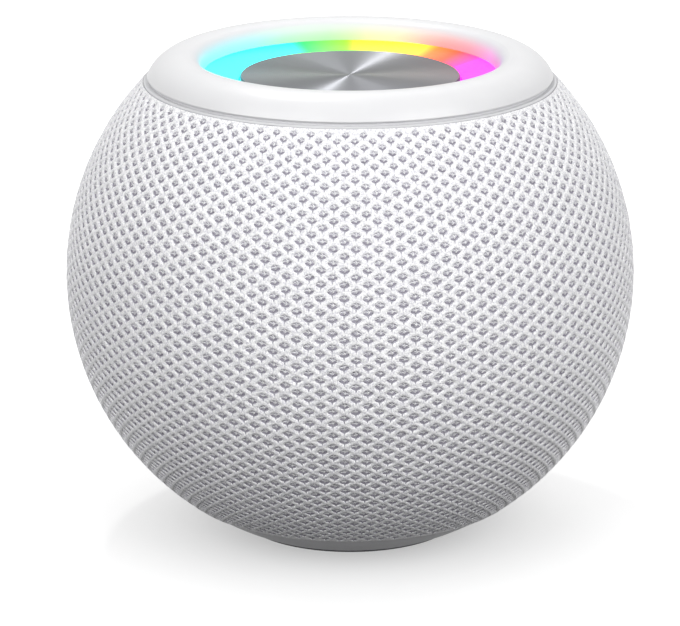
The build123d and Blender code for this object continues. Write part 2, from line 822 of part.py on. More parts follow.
# Voice coil: former and winding, centred on the pole plate
winding_bottom = (pole_bottom + pole_top - winding_length) / 2
winding_top = winding_bottom + winding_length
with BuildPart() as voice_coil:
    with BuildSketch(Plane.XZ):
        with BuildLine():
            Polyline(
                (coil_radius, neck),
                (former_outer, neck),
                (former_outer, winding_bottom),
                (winding_outer, winding_bottom),
                (winding_outer, winding_top),
                (coil_radius, winding_top),
                close=True,
            )
        make_face()
    revolve(axis=Axis.Z)
save(voice_coil, "voice_coil")

# Spider: a pleated ring from the former to the motor's seat
pleat_start = former_outer + screw_play
pleat_width = (seat_inner - pleat_start) / spider_pleats
spider_rim = seat_outer - frame_wall - fit
pleats = []
for step in range(spider_pleats):
    fold = seat_bottom + spider_depth * (-1) ** step
    pleats.append((pleat_start + step * pleat_width, seat_bottom))
    pleats.append((pleat_start + (step + 0.5) * pleat_width, fold))
pleats += [(seat_inner, seat_bottom), (spider_rim, seat_bottom)]
with BuildPart() as spider:
    with BuildSketch(Plane.XZ):
        with BuildLine():
            upper = Polyline(*pleats)
            lower = Polyline(*[(radius, height - spider_thickness) for radius, height in pleats])
            Line(upper @ 0, lower @ 0)
            Line(upper @ 1, lower @ 1)
        make_face()
    revolve(axis=Axis.Z)
save(spider, "spider")

# Motor: cup-shaped yoke with the magnet and the pole plate inside
pole_radius = coil_radius - coil_gap
with BuildPart() as yoke:
    pins([(0, 0)], yoke_radius, seat_top, yoke_ceiling + yoke_floor)
    pins([(0, 0)], winding_outer + coil_gap, seat_top, yoke_ceiling, Mode.SUBTRACT)
save(yoke, "yoke")

with BuildPart() as magnet:
    pins([(0, 0)], pole_radius - fit, pole_top, yoke_ceiling)
save(magnet, "magnet")

with BuildPart() as pole_plate:
    pins([(0, 0)], pole_radius, pole_bottom, pole_top)
save(pole_plate, "pole_plate")

# Rear panel: skirt in the pocket, face below the fabric's skin, bezel over the fabric's cut edge
face_radius = ball_radius - panel_inset
face_inside = face_radius - panel_wall
panel_hollow = (panel_height - 2 * panel_wall, panel_width - 2 * panel_wall)
bezel_inner = (panel_height - bezel_width, panel_width - bezel_width)
with BuildPart() as panel_face:
    rear_slot(panel_height, panel_width, pocket_floor_y, beyond)
    inside_ball(face_radius)
    with Locations((0, 0, ball_z)):
        Sphere(face_inside, mode=Mode.SUBTRACT)

with BuildPart() as panel_bezel:
    rear_slot(*bezel_outer, pocket_floor_y, beyond)
    inside_ball(ball_radius - bezel_inset)
    rear_slot(*bezel_inner, pocket_floor_y, beyond, mode=Mode.SUBTRACT)
    with Locations((0, 0, ball_z)):
        Sphere(shell_radius + fabric_gap, mode=Mode.SUBTRACT)

with BuildPart() as rear_panel:
    rear_slot(panel_height, panel_width, pocket_floor_y, beyond)
    rear_slot(*panel_hollow, pocket_floor_y, beyond, mode=Mode.SUBTRACT)
    inside_ball(face_radius)
    add(panel_face.part)
    add(panel_bezel.part)
    rear_discs(key_places, key_radius + running, pocket_floor_y, beyond, Mode.SUBTRACT)
    rear_discs([(0, light_pipe_rise)], light_pipe_radius + fit, pocket_floor_y, beyond, Mode.SUBTRACT)
    rear_slot(*socket_hole, pocket_floor_y, beyond, socket_rise, 0, Mode.SUBTRACT)
save(rear_panel, "rear_panel")

# Keys with their plungers: dome outside, flange behind the face, stem to the switch
key_reach = max(abs(panel_rise + rise) for rise in key_rises.values()) + key_flange_radius
key_flange_y = sqrt(face_inside**2 - key_reach**2) - running
key_switch_y = control_front_y + key_switch_height
key_stem_y = key_switch_y + key_plunger_stand
for name, rise in key_rises.items():
    with BuildPart() as key:
        rear_discs([(0, rise)], key_radius, key_flange_y, beyond)
        inside_ball(ball_radius - key_inset)
        rear_discs([(0, rise)], key_flange_radius, key_flange_y - key_flange, key_flange_y)
        rear_discs([(0, rise)], key_stem_radius, key_stem_y, key_flange_y - key_flange)
    save(key, name)
    with BuildPart() as key_plunger:
        rear_discs([(0, rise)], key_plunger_radius, key_switch_y - key_plunger_depth, key_stem_y)
    save(key_plunger, name.replace("key", "plunger"))

# Control board with switches, socket and status light
control_back_y = control_front_y - control_board_thickness
with BuildPart() as control_board:
    with BuildSketch(rear.offset(control_back_y)):
        RectangleRounded(control_board_width, control_board_height, control_post_radius)
        with Locations(*control_post_places):
            Circle(screw_hole, mode=Mode.SUBTRACT)
    extrude(amount=control_board_thickness)
save(control_board, "control_board")

with BuildPart() as control_screws:
    rear_discs(control_post_places, screw_head_radius, control_back_y - screw_head, control_back_y)
    rear_discs(control_post_places, screw_radius, control_back_y, control_front_y + screw_bite - screw_play)
save(control_screws, "control_screws")

key_bore_y = key_switch_y - key_plunger_depth - key_travel - fit
with BuildPart() as key_switches:
    with BuildSketch(rear.offset(control_front_y)):
        with Locations(*key_places):
            Rectangle(key_switch_size, key_switch_size)
    extrude(amount=key_switch_height)
    rear_discs(key_places, key_plunger_radius + fit, key_bore_y, key_switch_y, Mode.SUBTRACT)
save(key_switches, "key_switches")

socket_mouth_y = sqrt(ball_radius**2 - (panel_rise + socket_rise) ** 2) - socket_recess
socket_inside = (socket_width - 2 * socket_wall, socket_height - 2 * socket_wall)
socket_floor_y = control_front_y + socket_floor
with BuildPart() as usb_socket:
    rear_slot(socket_width, socket_height, control_front_y, socket_mouth_y, socket_rise, 0)
    rear_slot(*socket_inside, socket_floor_y, socket_mouth_y, socket_rise, 0, Mode.SUBTRACT)
    with BuildSketch(rear.offset(socket_floor_y)):
        with Locations((0, socket_rise)):
            Rectangle(blade_width, blade_thickness)
    extrude(amount=socket_mouth_y - blade_recess - socket_floor_y)
save(usb_socket, "usb_socket")

light_pipe_y = control_front_y + status_led_size[2]
with BuildPart() as status_led:
    with BuildSketch(rear.offset(control_front_y)):
        with Locations((0, light_pipe_rise)):
            Rectangle(status_led_size[0], status_led_size[1])
    extrude(amount=status_led_size[2])
save(status_led, "status_led")

with BuildPart() as light_pipe:
    rear_discs([(0, light_pipe_rise)], light_pipe_radius, light_pipe_y, beyond)
    inside_ball(face_radius)
save(light_pipe, "light_pipe")
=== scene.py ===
import bpy
import bmesh
import math
import numpy as np
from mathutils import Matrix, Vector


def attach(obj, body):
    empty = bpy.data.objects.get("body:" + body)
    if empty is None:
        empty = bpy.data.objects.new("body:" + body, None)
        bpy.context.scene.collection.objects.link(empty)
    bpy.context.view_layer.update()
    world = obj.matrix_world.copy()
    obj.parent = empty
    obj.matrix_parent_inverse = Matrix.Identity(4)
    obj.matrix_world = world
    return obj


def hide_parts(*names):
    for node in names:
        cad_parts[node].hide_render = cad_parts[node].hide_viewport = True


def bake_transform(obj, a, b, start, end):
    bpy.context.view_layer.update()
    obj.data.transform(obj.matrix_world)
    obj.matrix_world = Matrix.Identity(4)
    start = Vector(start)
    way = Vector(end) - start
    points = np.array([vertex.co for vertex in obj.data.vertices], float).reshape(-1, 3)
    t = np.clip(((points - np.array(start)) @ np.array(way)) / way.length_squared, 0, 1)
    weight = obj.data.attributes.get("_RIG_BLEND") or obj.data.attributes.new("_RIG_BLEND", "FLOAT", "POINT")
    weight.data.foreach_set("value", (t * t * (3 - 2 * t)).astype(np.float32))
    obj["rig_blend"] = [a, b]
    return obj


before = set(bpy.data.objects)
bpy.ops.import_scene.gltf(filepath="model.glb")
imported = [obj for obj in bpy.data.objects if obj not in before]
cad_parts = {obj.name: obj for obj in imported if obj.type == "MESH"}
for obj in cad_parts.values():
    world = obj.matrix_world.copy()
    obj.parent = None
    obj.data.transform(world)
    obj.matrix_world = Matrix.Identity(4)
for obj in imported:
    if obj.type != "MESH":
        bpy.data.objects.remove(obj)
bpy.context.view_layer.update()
scene = bpy.context.scene
scene.view_settings.view_transform = "Standard"
mm = 0.001

ball = {
    "middle": 45.691,  # height of the ball's middle above the table, mm
    "radius": 50.0,
    "fabricLow": 5.5,  # heights where the sleeve starts and stops
    "fabricHigh": 80.286,
}


def linear(hexColour):
    parts = [int(hexColour[i:i + 2], 16) / 255 for i in (1, 3, 5)]
    return (*[c / 12.92 if c <= 0.04045 else ((c + 0.055) / 1.055) ** 2.4 for c in parts], 1)


def addNode(tree, kind, settings={}, inputs={}):
    node = tree.nodes.new(kind)
    for key, value in settings.items():
        setattr(node, key, value)
    for key, value in inputs.items():
        if isinstance(value, bpy.types.NodeSocket):
            tree.links.new(value, node.inputs[key])
        else:
            node.inputs[key].default_value = value
    return node


def newFinish(name, values):
    material = bpy.data.materials.new(name)
    material.use_nodes = True
    shader = material.node_tree.nodes["Principled BSDF"]
    for key, value in values.items():
        shader.inputs[key].default_value = value
    return material, material.node_tree, shader


grainLook = {
    "detail": 3.0,
    "broad": 0.04,  # share of the grain's scale at which the two shades drift
    "broadDetail": 2.0,
    "bump": 0.5,
}


# a plain finish with the grain of its mould or mill: two close shades, uneven gloss and a fine bump
def grainedFinish(name, shades, gloss, grain, depth, values={}):
    material, tree, shader = newFinish(name, values)
    place = addNode(tree, "ShaderNodeTexCoord")
    fine = addNode(tree, "ShaderNodeTexNoise", {}, {
        "Vector": place.outputs["Object"], "Scale": 1 / (grain * mm),
        "Detail": grainLook["detail"]})
    broad = addNode(tree, "ShaderNodeTexNoise", {}, {
        "Vector": place.outputs["Object"], "Scale": grainLook["broad"] / (grain * mm),
        "Detail": grainLook["broadDetail"]})
    shade = addNode(tree, "ShaderNodeMix", {"data_type": "RGBA"}, {
        0: broad.outputs["Fac"], 6: linear(shades[0]), 7: linear(shades[1])})
    rough = addNode(tree, "ShaderNodeMapRange", {}, {
        "Value": fine.outputs["Fac"], "To Min": gloss[0], "To Max": gloss[1]})
    bump = addNode(tree, "ShaderNodeBump", {}, {
        "Height": fine.outputs["Fac"], "Strength": grainLook["bump"], "Distance": depth * mm})
    tree.links.new(shade.outputs[2], shader.inputs["Base Color"])
    tree.links.new(rough.outputs["Result"], shader.inputs["Roughness"])
    tree.links.new(bump.outputs["Normal"], shader.inputs["Normal"])
    return material


# a point's distance from the ball's upright axis, m
def fromAxis(tree, place):
    across = addNode(tree, "ShaderNodeVectorMath", {"operation": "MULTIPLY"}, {
        0: place.outputs["Object"], 1: (1, 1, 0)})
    return addNode(tree, "ShaderNodeVectorMath", {"operation": "LENGTH"}, {
        0: across.outputs[0]}).outputs["Value"]


# 1 for rays that show a surface to the eye, also in a mirror or through glass, and 0 for its light
def shownRays(tree):
    rays = addNode(tree, "ShaderNodeLightPath")
    seen = addNode(tree, "ShaderNodeMath", {"operation": "MAXIMUM"}, {
        0: rays.outputs["Is Camera Ray"], 1: rays.outputs["Is Glossy Ray"]})
    return addNode(tree, "ShaderNodeMath", {"operation": "MAXIMUM"}, {
        0: seen.outputs[0], 1: rays.outputs["Is Transmission Ray"]}).outputs[0]


# camera at the photograph's angle, long lens
view = {
    "distance": 0.669,
    "elevation": 16.07,
    "lens": 200.6,
    "shift": (-0.01494, -0.0629),
    "clip": (0.01, 20),
}
cameraData = bpy.data.cameras.new("camera")
camera = bpy.data.objects.new("camera", cameraData)
scene.collection.objects.link(camera)
tilt = math.radians(view["elevation"])
camera.location = (
    0, -view["distance"] * math.cos(tilt), ball["middle"] * mm + view["distance"] * math.sin(tilt))
camera.rotation_euler = (math.pi / 2 - tilt, 0, 0)
cameraData.lens = view["lens"]
cameraData.sensor_fit = "HORIZONTAL"
cameraData.shift_x, cameraData.shift_y = view["shift"]
cameraData.clip_start, cameraData.clip_end = view["clip"]
scene.camera = camera
print("camera set")


# knitted sleeve: a white net of eyelets over fine crossing yarns and a grey inner face; grey threads and
# part of the face's grey are painted shade
knit = {
    "columns": 79,  # eyelets in one row, all round the ball
    "rows": 73,  # half a pitch apart, each shifted by half an eyelet
    "cuts": (0, 18, 36, 54, 73),  # rows where the net is divided into pieces
    "netMiddle": 49.7,  # radius
    "crest": 0.27,  # net's face above its middle, mm
    "shoulder": 0.24,
    "lip": 0.12,
    "belly": -0.08,
    "slope": 0.2,  # share of the net that slopes into the eyelet
    "uneven": 0.12,  # how far its strands wander, mm, and over what length
    "wander": 2.2,
    "flattened": 0.45,  # share of its relief that the net keeps at the base, where it is stretched
    "opened": 0.28,  # and by how much of their size the eyelets grow there
    "tip": -0.5,  # an eyelet's lower tip grows no further than a point at this height would
    "relaxed": 0.8,  # radians above the base where it is as knitted
    "eyelet": [  # right half of the opening, mm from its middle
        (0.0, 0.62), (0.33, 0.57), (0.63, 0.42), (0.82, 0.20), (0.87, -0.02),
        (0.58, -0.33), (0.18, -0.48), (0.05, -0.80), (0.0, -1.04)],
    "threads": [  # fine white yarns that cross behind the opening
        [(-0.95, 0.04), (-0.48, 0.32), (0.02, 0.16), (0.50, 0.34), (0.95, 0.04)],
        [(-0.26, 0.74), (0.08, 0.40), (0.20, 0.10), (-0.02, -0.10)]],
    # grey yarns that paint the shade low in each eyelet
    "paintedShadeThreads": [[(-0.92, 0.12), (-0.36, -0.08), (0.0, -0.26), (0.36, -0.08), (0.92, 0.12)]],
    "threadMiddle": 0.02,  # above the net's middle
    "threadThickness": 0.09,
    "threadSides": 4,
    "threadTurn": 0.30,  # each crossing is turned by up to this much, radians
    "threadSeed": 7,
    "threadCuts": (0, 36, 73),
    "weld": 0.005,  # strands that meet within this become one, mm
    "hemBand": 0.4,  # how far from a hem's height its loose edge may lie, mm
    "cutSides": 20,  # most sides of a hole that a cut between two pieces leaves
    "backing": 49.7,  # outer radius of the inner face
    "backingWall": 0.3,
    "backingRows": 120,
    "backingColumns": 360,
    "mapScale": (2.9, 11.0, 0.0),  # the flat net, in m, fits the map's square
    "mapCorner": (0.02, 0.03, 0.0),
}
latLow = math.asin((ball["fabricLow"] - ball["middle"]) / ball["radius"])
latHigh = math.asin((ball["fabricHigh"] - ball["middle"]) / ball["radius"])
girth = 2 * math.pi * ball["radius"]
halfStep = girth / knit["columns"] / 2  # half the width of an eyelet's share of the net, mm
halfPitch = (latHigh - latLow) * ball["radius"] / knit["rows"]


def newTree(name, sizes):
    tree = bpy.data.node_groups.new(name, "GeometryNodeTree")
    tree.interface.new_socket("Geometry", in_out="INPUT", socket_type="NodeSocketGeometry")
    for key, value in sizes.items():
        kind = {int: "Int", float: "Float"}.get(type(value), "Material")
        tree.interface.new_socket(key, in_out="INPUT", socket_type="NodeSocket" + kind)
    tree.interface.new_socket("Geometry", in_out="OUTPUT", socket_type="NodeSocketGeometry")
    return tree, addNode(tree, "NodeGroupInput").outputs


# runs a tree on a seed mesh with these sizes and keeps the result as a plain mesh
def growPiece(name, tree, seed, sizes):
    grower = bpy.data.objects.new(name + "Grower", seed)
    scene.collection.objects.link(grower)
    modifier = grower.modifiers.new("grow", "NODES")
    modifier.node_group = tree
    for item in tree.interface.items_tree:
        if item.in_out == "INPUT" and item.name in sizes:
            modifier[item.identifier] = sizes[item.name]
    grown = grower.evaluated_get(bpy.context.evaluated_depsgraph_get())
    mesh = bpy.data.meshes.new_from_object(grown)
    bpy.data.objects.remove(grower)
    mesh.name = name
    piece = bpy.data.objects.new(name, mesh)
    scene.collection.objects.link(piece)
    return piece


# spreads one eyelet flat in shifted rows, then wraps the flat net round the ball
wrapSizes = {
    "Columns": knit["columns"], "Rows": 1, "First Row": 0,
    "Half Step": halfStep * mm, "Half Pitch": halfPitch * mm, "Radius": ball["radius"] * mm,
    "Net Radius": knit["netMiddle"] * mm, "Middle": ball["middle"] * mm, "Low": latLow,
    "Flattened": knit["flattened"], "Opened": knit["opened"], "Relaxed": latLow + knit["relaxed"],
    "Uneven": knit["uneven"] * mm, "Grain": 1 / (knit["wander"] * mm), "Turn": 0.0,
    "Material": None,
}
wrapTree, size = newTree("wrapEyelets", wrapSizes)
total = addNode(wrapTree, "ShaderNodeMath", {"operation": "MULTIPLY"}, {
    0: size["Columns"], 1: size["Rows"]})
points = addNode(wrapTree, "GeometryNodePoints", {}, {"Count": total.outputs[0]})
index = addNode(wrapTree, "GeometryNodeInputIndex")
share = addNode(wrapTree, "ShaderNodeMath", {"operation": "DIVIDE"}, {
    0: index.outputs[0], 1: size["Columns"]})
above = addNode(wrapTree, "ShaderNodeMath", {"operation": "FLOOR"}, {0: share.outputs[0]})
row = addNode(wrapTree, "ShaderNodeMath", {"operation": "ADD"}, {
    0: above.outputs[0], 1: size["First Row"]})
column = addNode(wrapTree, "ShaderNodeMath", {"operation": "MODULO"}, {
    0: index.outputs[0], 1: size["Columns"]})
odd = addNode(wrapTree, "ShaderNodeMath", {"operation": "MODULO"}, {0: row.outputs[0], 1: 2.0})
shifted = addNode(wrapTree, "ShaderNodeMath", {"operation": "MULTIPLY_ADD"}, {
    0: column.outputs[0], 1: 2.0, 2: odd.outputs[0]})
flatX = addNode(wrapTree, "ShaderNodeMath", {"operation": "MULTIPLY"}, {
    0: shifted.outputs[0], 1: size["Half Step"]})
flatY = addNode(wrapTree, "ShaderNodeMath", {"operation": "MULTIPLY"}, {
    0: row.outputs[0], 1: size["Half Pitch"]})
flatSpot = addNode(wrapTree, "ShaderNodeCombineXYZ", {}, {
    "X": flatX.outputs[0], "Y": flatY.outputs[0]})
put = addNode(wrapTree, "GeometryNodeSetPosition", {}, {
    "Geometry": points.outputs[0], "Position": flatSpot.outputs[0]})
chance = addNode(wrapTree, "FunctionNodeRandomValue", {"data_type": "FLOAT"}, {
    "Min": -1.0, "Max": 1.0, "Seed": knit["threadSeed"]})
twist = addNode(wrapTree, "ShaderNodeMath", {"operation": "MULTIPLY"}, {
    0: chance.outputs[1], 1: size["Turn"]})
twisted = addNode(wrapTree, "ShaderNodeCombineXYZ", {}, {"Z": twist.outputs[0]})
spread = addNode(wrapTree, "GeometryNodeInstanceOnPoints", {}, {
    "Points": put.outputs["Geometry"], "Instance": size["Geometry"],
    "Rotation": twisted.outputs[0]})
real = addNode(wrapTree, "GeometryNodeRealizeInstances", {}, {
    "Geometry": spread.outputs["Instances"]})
knitted = addNode(wrapTree, "GeometryNodeInputPosition")
knittedParts = addNode(wrapTree, "ShaderNodeSeparateXYZ", {}, {0: knitted.outputs[0]})
climb = addNode(wrapTree, "ShaderNodeMath", {"operation": "DIVIDE"}, {
    0: knittedParts.outputs["Y"], 1: size["Radius"]})
height = addNode(wrapTree, "ShaderNodeMath", {"operation": "ADD"}, {
    0: climb.outputs[0], 1: size["Low"]})
growth = addNode(wrapTree, "ShaderNodeMapRange", {"interpolation_type": "SMOOTHSTEP"}, {
    "Value": height.outputs[0], "From Min": size["Low"], "From Max": size["Relaxed"],
    "To Min": size["Opened"], "To Max": 0.0})
pull = addNode(wrapTree, "GeometryNodeInputNamedAttribute", {"data_type": "FLOAT_VECTOR"}, {
    "Name": "pull"})
pulled = addNode(wrapTree, "ShaderNodeVectorMath", {"operation": "SCALE"}, {
    0: pull.outputs[0], "Scale": growth.outputs["Result"]})
stretched = addNode(wrapTree, "GeometryNodeSetPosition", {}, {
    "Geometry": real.outputs["Geometry"], "Offset": pulled.outputs[0]})
place = addNode(wrapTree, "GeometryNodeInputPosition")
flatParts = addNode(wrapTree, "ShaderNodeSeparateXYZ", {}, {0: place.outputs[0]})
mapSpot = addNode(wrapTree, "ShaderNodeVectorMath", {"operation": "MULTIPLY_ADD"}, {
    0: place.outputs[0], 1: knit["mapScale"], 2: knit["mapCorner"]})
mapped = addNode(wrapTree, "GeometryNodeStoreNamedAttribute", {
    "data_type": "FLOAT2", "domain": "CORNER"}, {
    "Geometry": stretched.outputs["Geometry"], "Name": "OFBake", "Value": mapSpot.outputs[0]})
longitude = addNode(wrapTree, "ShaderNodeMath", {"operation": "DIVIDE"}, {
    0: flatParts.outputs["X"], 1: size["Radius"]})
arc = addNode(wrapTree, "ShaderNodeMath", {"operation": "DIVIDE"}, {
    0: flatParts.outputs["Y"], 1: size["Radius"]})
latitude = addNode(wrapTree, "ShaderNodeMath", {"operation": "ADD"}, {
    0: arc.outputs[0], 1: size["Low"]})
relief = addNode(wrapTree, "ShaderNodeMapRange", {"interpolation_type": "SMOOTHSTEP"}, {
    "Value": latitude.outputs[0], "From Min": size["Low"], "From Max": size["Relaxed"],
    "To Min": size["Flattened"]})
reach = addNode(wrapTree, "ShaderNodeMath", {"operation": "MULTIPLY_ADD"}, {
    0: flatParts.outputs["Z"], 1: relief.outputs["Result"], 2: size["Net Radius"]})
cosLat = addNode(wrapTree, "ShaderNodeMath", {"operation": "COSINE"}, {0: latitude.outputs[0]})
sinLat = addNode(wrapTree, "ShaderNodeMath", {"operation": "SINE"}, {0: latitude.outputs[0]})
cosLon = addNode(wrapTree, "ShaderNodeMath", {"operation": "COSINE"}, {0: longitude.outputs[0]})
sinLon = addNode(wrapTree, "ShaderNodeMath", {"operation": "SINE"}, {0: longitude.outputs[0]})
outX = addNode(wrapTree, "ShaderNodeMath", {"operation": "MULTIPLY"}, {
    0: cosLat.outputs[0], 1: cosLon.outputs[0]})
outY = addNode(wrapTree, "ShaderNodeMath", {"operation": "MULTIPLY"}, {
    0: cosLat.outputs[0], 1: sinLon.outputs[0]})
outward = addNode(wrapTree, "ShaderNodeCombineXYZ", {}, {
    "X": outX.outputs[0], "Y": outY.outputs[0], "Z": sinLat.outputs[0]})
onBall = addNode(wrapTree, "ShaderNodeVectorMath", {"operation": "SCALE"}, {
    0: outward.outputs[0], "Scale": reach.outputs[0]})
lift = addNode(wrapTree, "ShaderNodeCombineXYZ", {}, {"Z": size["Middle"]})
spot = addNode(wrapTree, "ShaderNodeVectorMath", {"operation": "ADD"}, {
    0: onBall.outputs[0], 1: lift.outputs[0]})
wrapped = addNode(wrapTree, "GeometryNodeSetPosition", {}, {
    "Geometry": mapped.outputs["Geometry"], "Position": spot.outputs[0]})
ballPlace = addNode(wrapTree, "GeometryNodeInputPosition")
drift = addNode(wrapTree, "ShaderNodeTexNoise", {"noise_dimensions": "3D"}, {
    "Vector": ballPlace.outputs[0], "Scale": size["Grain"], "Detail": 1.0})
centred = addNode(wrapTree, "ShaderNodeVectorMath", {"operation": "SUBTRACT"}, {
    0: drift.outputs["Color"], 1: (0.5, 0.5, 0.5)})
uneven = addNode(wrapTree, "ShaderNodeVectorMath", {"operation": "SCALE"}, {
    0: centred.outputs[0], "Scale": size["Uneven"]})
loosened = addNode(wrapTree, "GeometryNodeSetPosition", {}, {
    "Geometry": wrapped.outputs["Geometry"], "Offset": uneven.outputs[0]})
joined = addNode(wrapTree, "GeometryNodeMergeByDistance", {}, {
    "Geometry": loosened.outputs["Geometry"], "Distance": knit["weld"] * mm})
smooth = addNode(wrapTree, "GeometryNodeSetShadeSmooth", {}, {
    "Geometry": joined.outputs["Geometry"]})
dressed = addNode(wrapTree, "GeometryNodeSetMaterial", {}, {
    "Geometry": smooth.outputs["Geometry"], "Material": size["Material"]})
addNode(wrapTree, "NodeGroupOutput", {}, {"Geometry": dressed.outputs["Geometry"]})

# polyester filament yarn, warp-knitted: matt white with a faint violet in its depth, fine stitches
yarn = {
    "fuzz": 0.30,  # size of its tufts, mm
    "fleck": (0.36, 0.58),  # between which levels of the noise the shades change
    "shades": ("#D4D3DA", "#FFFFFF"),
    "bump": 0.8,
    "depth": 0.14,
}
yarnFinish, tree, shader = newFinish("whitePolyesterYarn", {
    "Roughness": 0.85, "Specular IOR Level": 0.25, "Sheen Weight": 0.25, "Sheen Roughness": 0.5})
place = addNode(tree, "ShaderNodeTexCoord")
fuzz = addNode(tree, "ShaderNodeTexNoise", {}, {
    "Vector": place.outputs["Object"], "Scale": 1 / (yarn["fuzz"] * mm), "Detail": 3.0,
    "Roughness": 0.6})
fleck = addNode(tree, "ShaderNodeMapRange", {}, {
    "Value": fuzz.outputs["Fac"], "From Min": yarn["fleck"][0], "From Max": yarn["fleck"][1]})
tint = addNode(tree, "ShaderNodeMix", {"data_type": "RGBA"}, {
    0: fleck.outputs["Result"], 6: linear(yarn["shades"][0]), 7: linear(yarn["shades"][1])})
bump = addNode(tree, "ShaderNodeBump", {}, {
    "Height": fuzz.outputs["Fac"], "Strength": yarn["bump"], "Distance": yarn["depth"] * mm})
tree.links.new(tint.outputs[2], shader.inputs["Base Color"])
tree.links.new(bump.outputs["Normal"], shader.inputs["Normal"])

# the sleeve's inner face, a dense grey-violet knit that shows at the bottom of each eyelet; its grey is
# partly its own colour and partly painted shade for the eyelets' depth
backing = {"loop": 0.35, "shades": ("#8A8794", "#D2D0D9"), "bump": 0.7, "depth": 0.2}  # mm
backingPaintedShadeFinish, tree, shader = newFinish("greyKnitPaintedShade", {
    "Roughness": 0.95, "Specular IOR Level": 0.2, "Sheen Weight": 0.1})
place = addNode(tree, "ShaderNodeTexCoord")
mottle = addNode(tree, "ShaderNodeTexNoise", {}, {
    "Vector": place.outputs["Object"], "Scale": 1 / (backing["loop"] * mm), "Detail": 3.0})
tint = addNode(tree, "ShaderNodeMix", {"data_type": "RGBA"}, {
    0: mottle.outputs["Fac"], 6: linear(backing["shades"][0]), 7: linear(backing["shades"][1])})
bump = addNode(tree, "ShaderNodeBump", {}, {
    "Height": mottle.outputs["Fac"], "Strength": backing["bump"],
    "Distance": backing["depth"] * mm})
tree.links.new(tint.outputs[2], shader.inputs["Base Color"])
tree.links.new(bump.outputs["Normal"], shader.inputs["Normal"])

# the same yarn in grey, as painted shade, which draws the darker bow across each eyelet
paintedShadeYarnFinish = grainedFinish(
    "paintedShadeGreyYarn", ("#8A8791", "#A19EA9"), (0.85, 0.95), 0.25, 0.05,
    {"Specular IOR Level": 0.2})

# opening for the rear panel, a stadium seen from behind, mm
opening = {
    "width": 16.8,
    "height": 34.8,
    "middle": 47.691,
    "depth": 35.0,  # it cuts what lies further back than this
    "cutSides": 60,  # most sides of a hole that its cut leaves in the net
}


# how far a point seen from behind lies outside the opening, and the way out of it
def outsideOpening(x, z):
    half = opening["width"] / 2
    straight = opening["height"] / 2 - half
    dz = z - opening["middle"]
    dz = dz - np.clip(dz, -straight, straight)
    far = np.maximum(np.hypot(x, dz), 1e-6)
    return far - half, x / far, dz / far


# closes what a cut left open, with a crisp edge so that the face beside it stays evenly lit
def closeCut(work, sides):
    rim = [e for e in work.edges if e.is_boundary]
    caps = bmesh.ops.holes_fill(work, edges=rim, sides=sides)["faces"]
    for e in rim:
        e.smooth = False
    for face in caps:
        face.smooth = False


def readSpots(mesh):
    spots = np.empty(len(mesh.vertices) * 3)
    mesh.vertices.foreach_get("co", spots)
    return spots.reshape(-1, 3) / mm


# removes what lies in the opening, draws the cut edge onto its outline and closes what is left open
def cutOpening(mesh, fill):
    spots = readSpots(mesh)
    inside = (outsideOpening(spots[:, 0], spots[:, 2])[0] < 0) & (spots[:, 1] > opening["depth"])
    work = bmesh.new()
    work.from_mesh(mesh)
    gone = [face for face in work.faces if all(inside[v.index] for v in face.verts)]
    bmesh.ops.delete(work, geom=gone, context="FACES")
    work.to_mesh(mesh)
    work.free()
    spots = readSpots(mesh)
    away, outX, outZ = outsideOpening(spots[:, 0], spots[:, 2])
    inside = (away < 0) & (spots[:, 1] > opening["depth"])
    spots[inside, 0] -= (away * outX)[inside]
    spots[inside, 2] -= (away * outZ)[inside]
    mesh.vertices.foreach_set("co", (spots * mm).ravel())
    if fill:
        work = bmesh.new()
        work.from_mesh(mesh)
        closeCut(work, opening["cutSides"])
        work.to_mesh(mesh)
        work.free()
    mesh.update()


# outline of one eyelet's share of the net
def shareBorder():
    quarters = [0.0, 0.25, 0.5, 0.75]
    corners = [(0, halfPitch), (halfStep, 0), (0, -halfPitch), (-halfStep, 0)]
    return [(a[0] + f * (b[0] - a[0]), a[1] + f * (b[1] - a[1]))
            for a, b in zip(corners, corners[1:] + corners[:1]) for f in quarters]


# one eyelet with its share of the net: face, shoulder, lip, wall and underside
def makeEyelet():
    right = knit["eyelet"]
    hole = right + [(-x, y) for x, y in right[-2:0:-1]]
    border = shareBorder()
    middle = [(a[0] + knit["slope"] * (b[0] - a[0]), a[1] + knit["slope"] * (b[1] - a[1]))
              for a, b in zip(hole, border)]
    rings = [(border, knit["crest"]), (middle, knit["shoulder"]), (hole, knit["lip"]),
             (hole, knit["belly"]), (border, knit["belly"])]
    spots = [(x * mm, y * mm, z * mm) for outline, z in rings for x, y in outline]
    count = len(hole)
    faces = [(k * count + i, k * count + (i + 1) % count,
              (k + 1) * count + (i + 1) % count, (k + 1) * count + i)
             for k in range(len(rings) - 1) for i in range(count)]
    mesh = bpy.data.meshes.new("eyelet")
    mesh.from_pydata(spots, [], [face[::-1] for face in faces])
    shares = [0.0, 1 - knit["slope"], 1.0, 1.0, 0.0]  # how far each ring goes as the eyelet opens
    pull = mesh.attributes.new("pull", "FLOAT_VECTOR", "POINT")
    pull.data.foreach_set("vector", [
        c * mm * part for part in shares for x, y in hole for c in (x, max(y, knit["tip"]), 0.0)])
    return mesh


# the same share without an opening, for the straight hems at the sleeve's edges
def makeHem():
    border = shareBorder()
    count = len(border)
    spots = [(x * mm, y * mm, z * mm)
             for z in (knit["crest"], knit["belly"]) for x, y in [*border, (0, 0)]]
    under = count + 1
    faces = [(count, (i + 1) % count, i) for i in range(count)]
    faces += [(under + count, under + i, under + (i + 1) % count) for i in range(count)]
    mesh = bpy.data.meshes.new("hem")
    mesh.from_pydata(spots, [], faces)
    return mesh


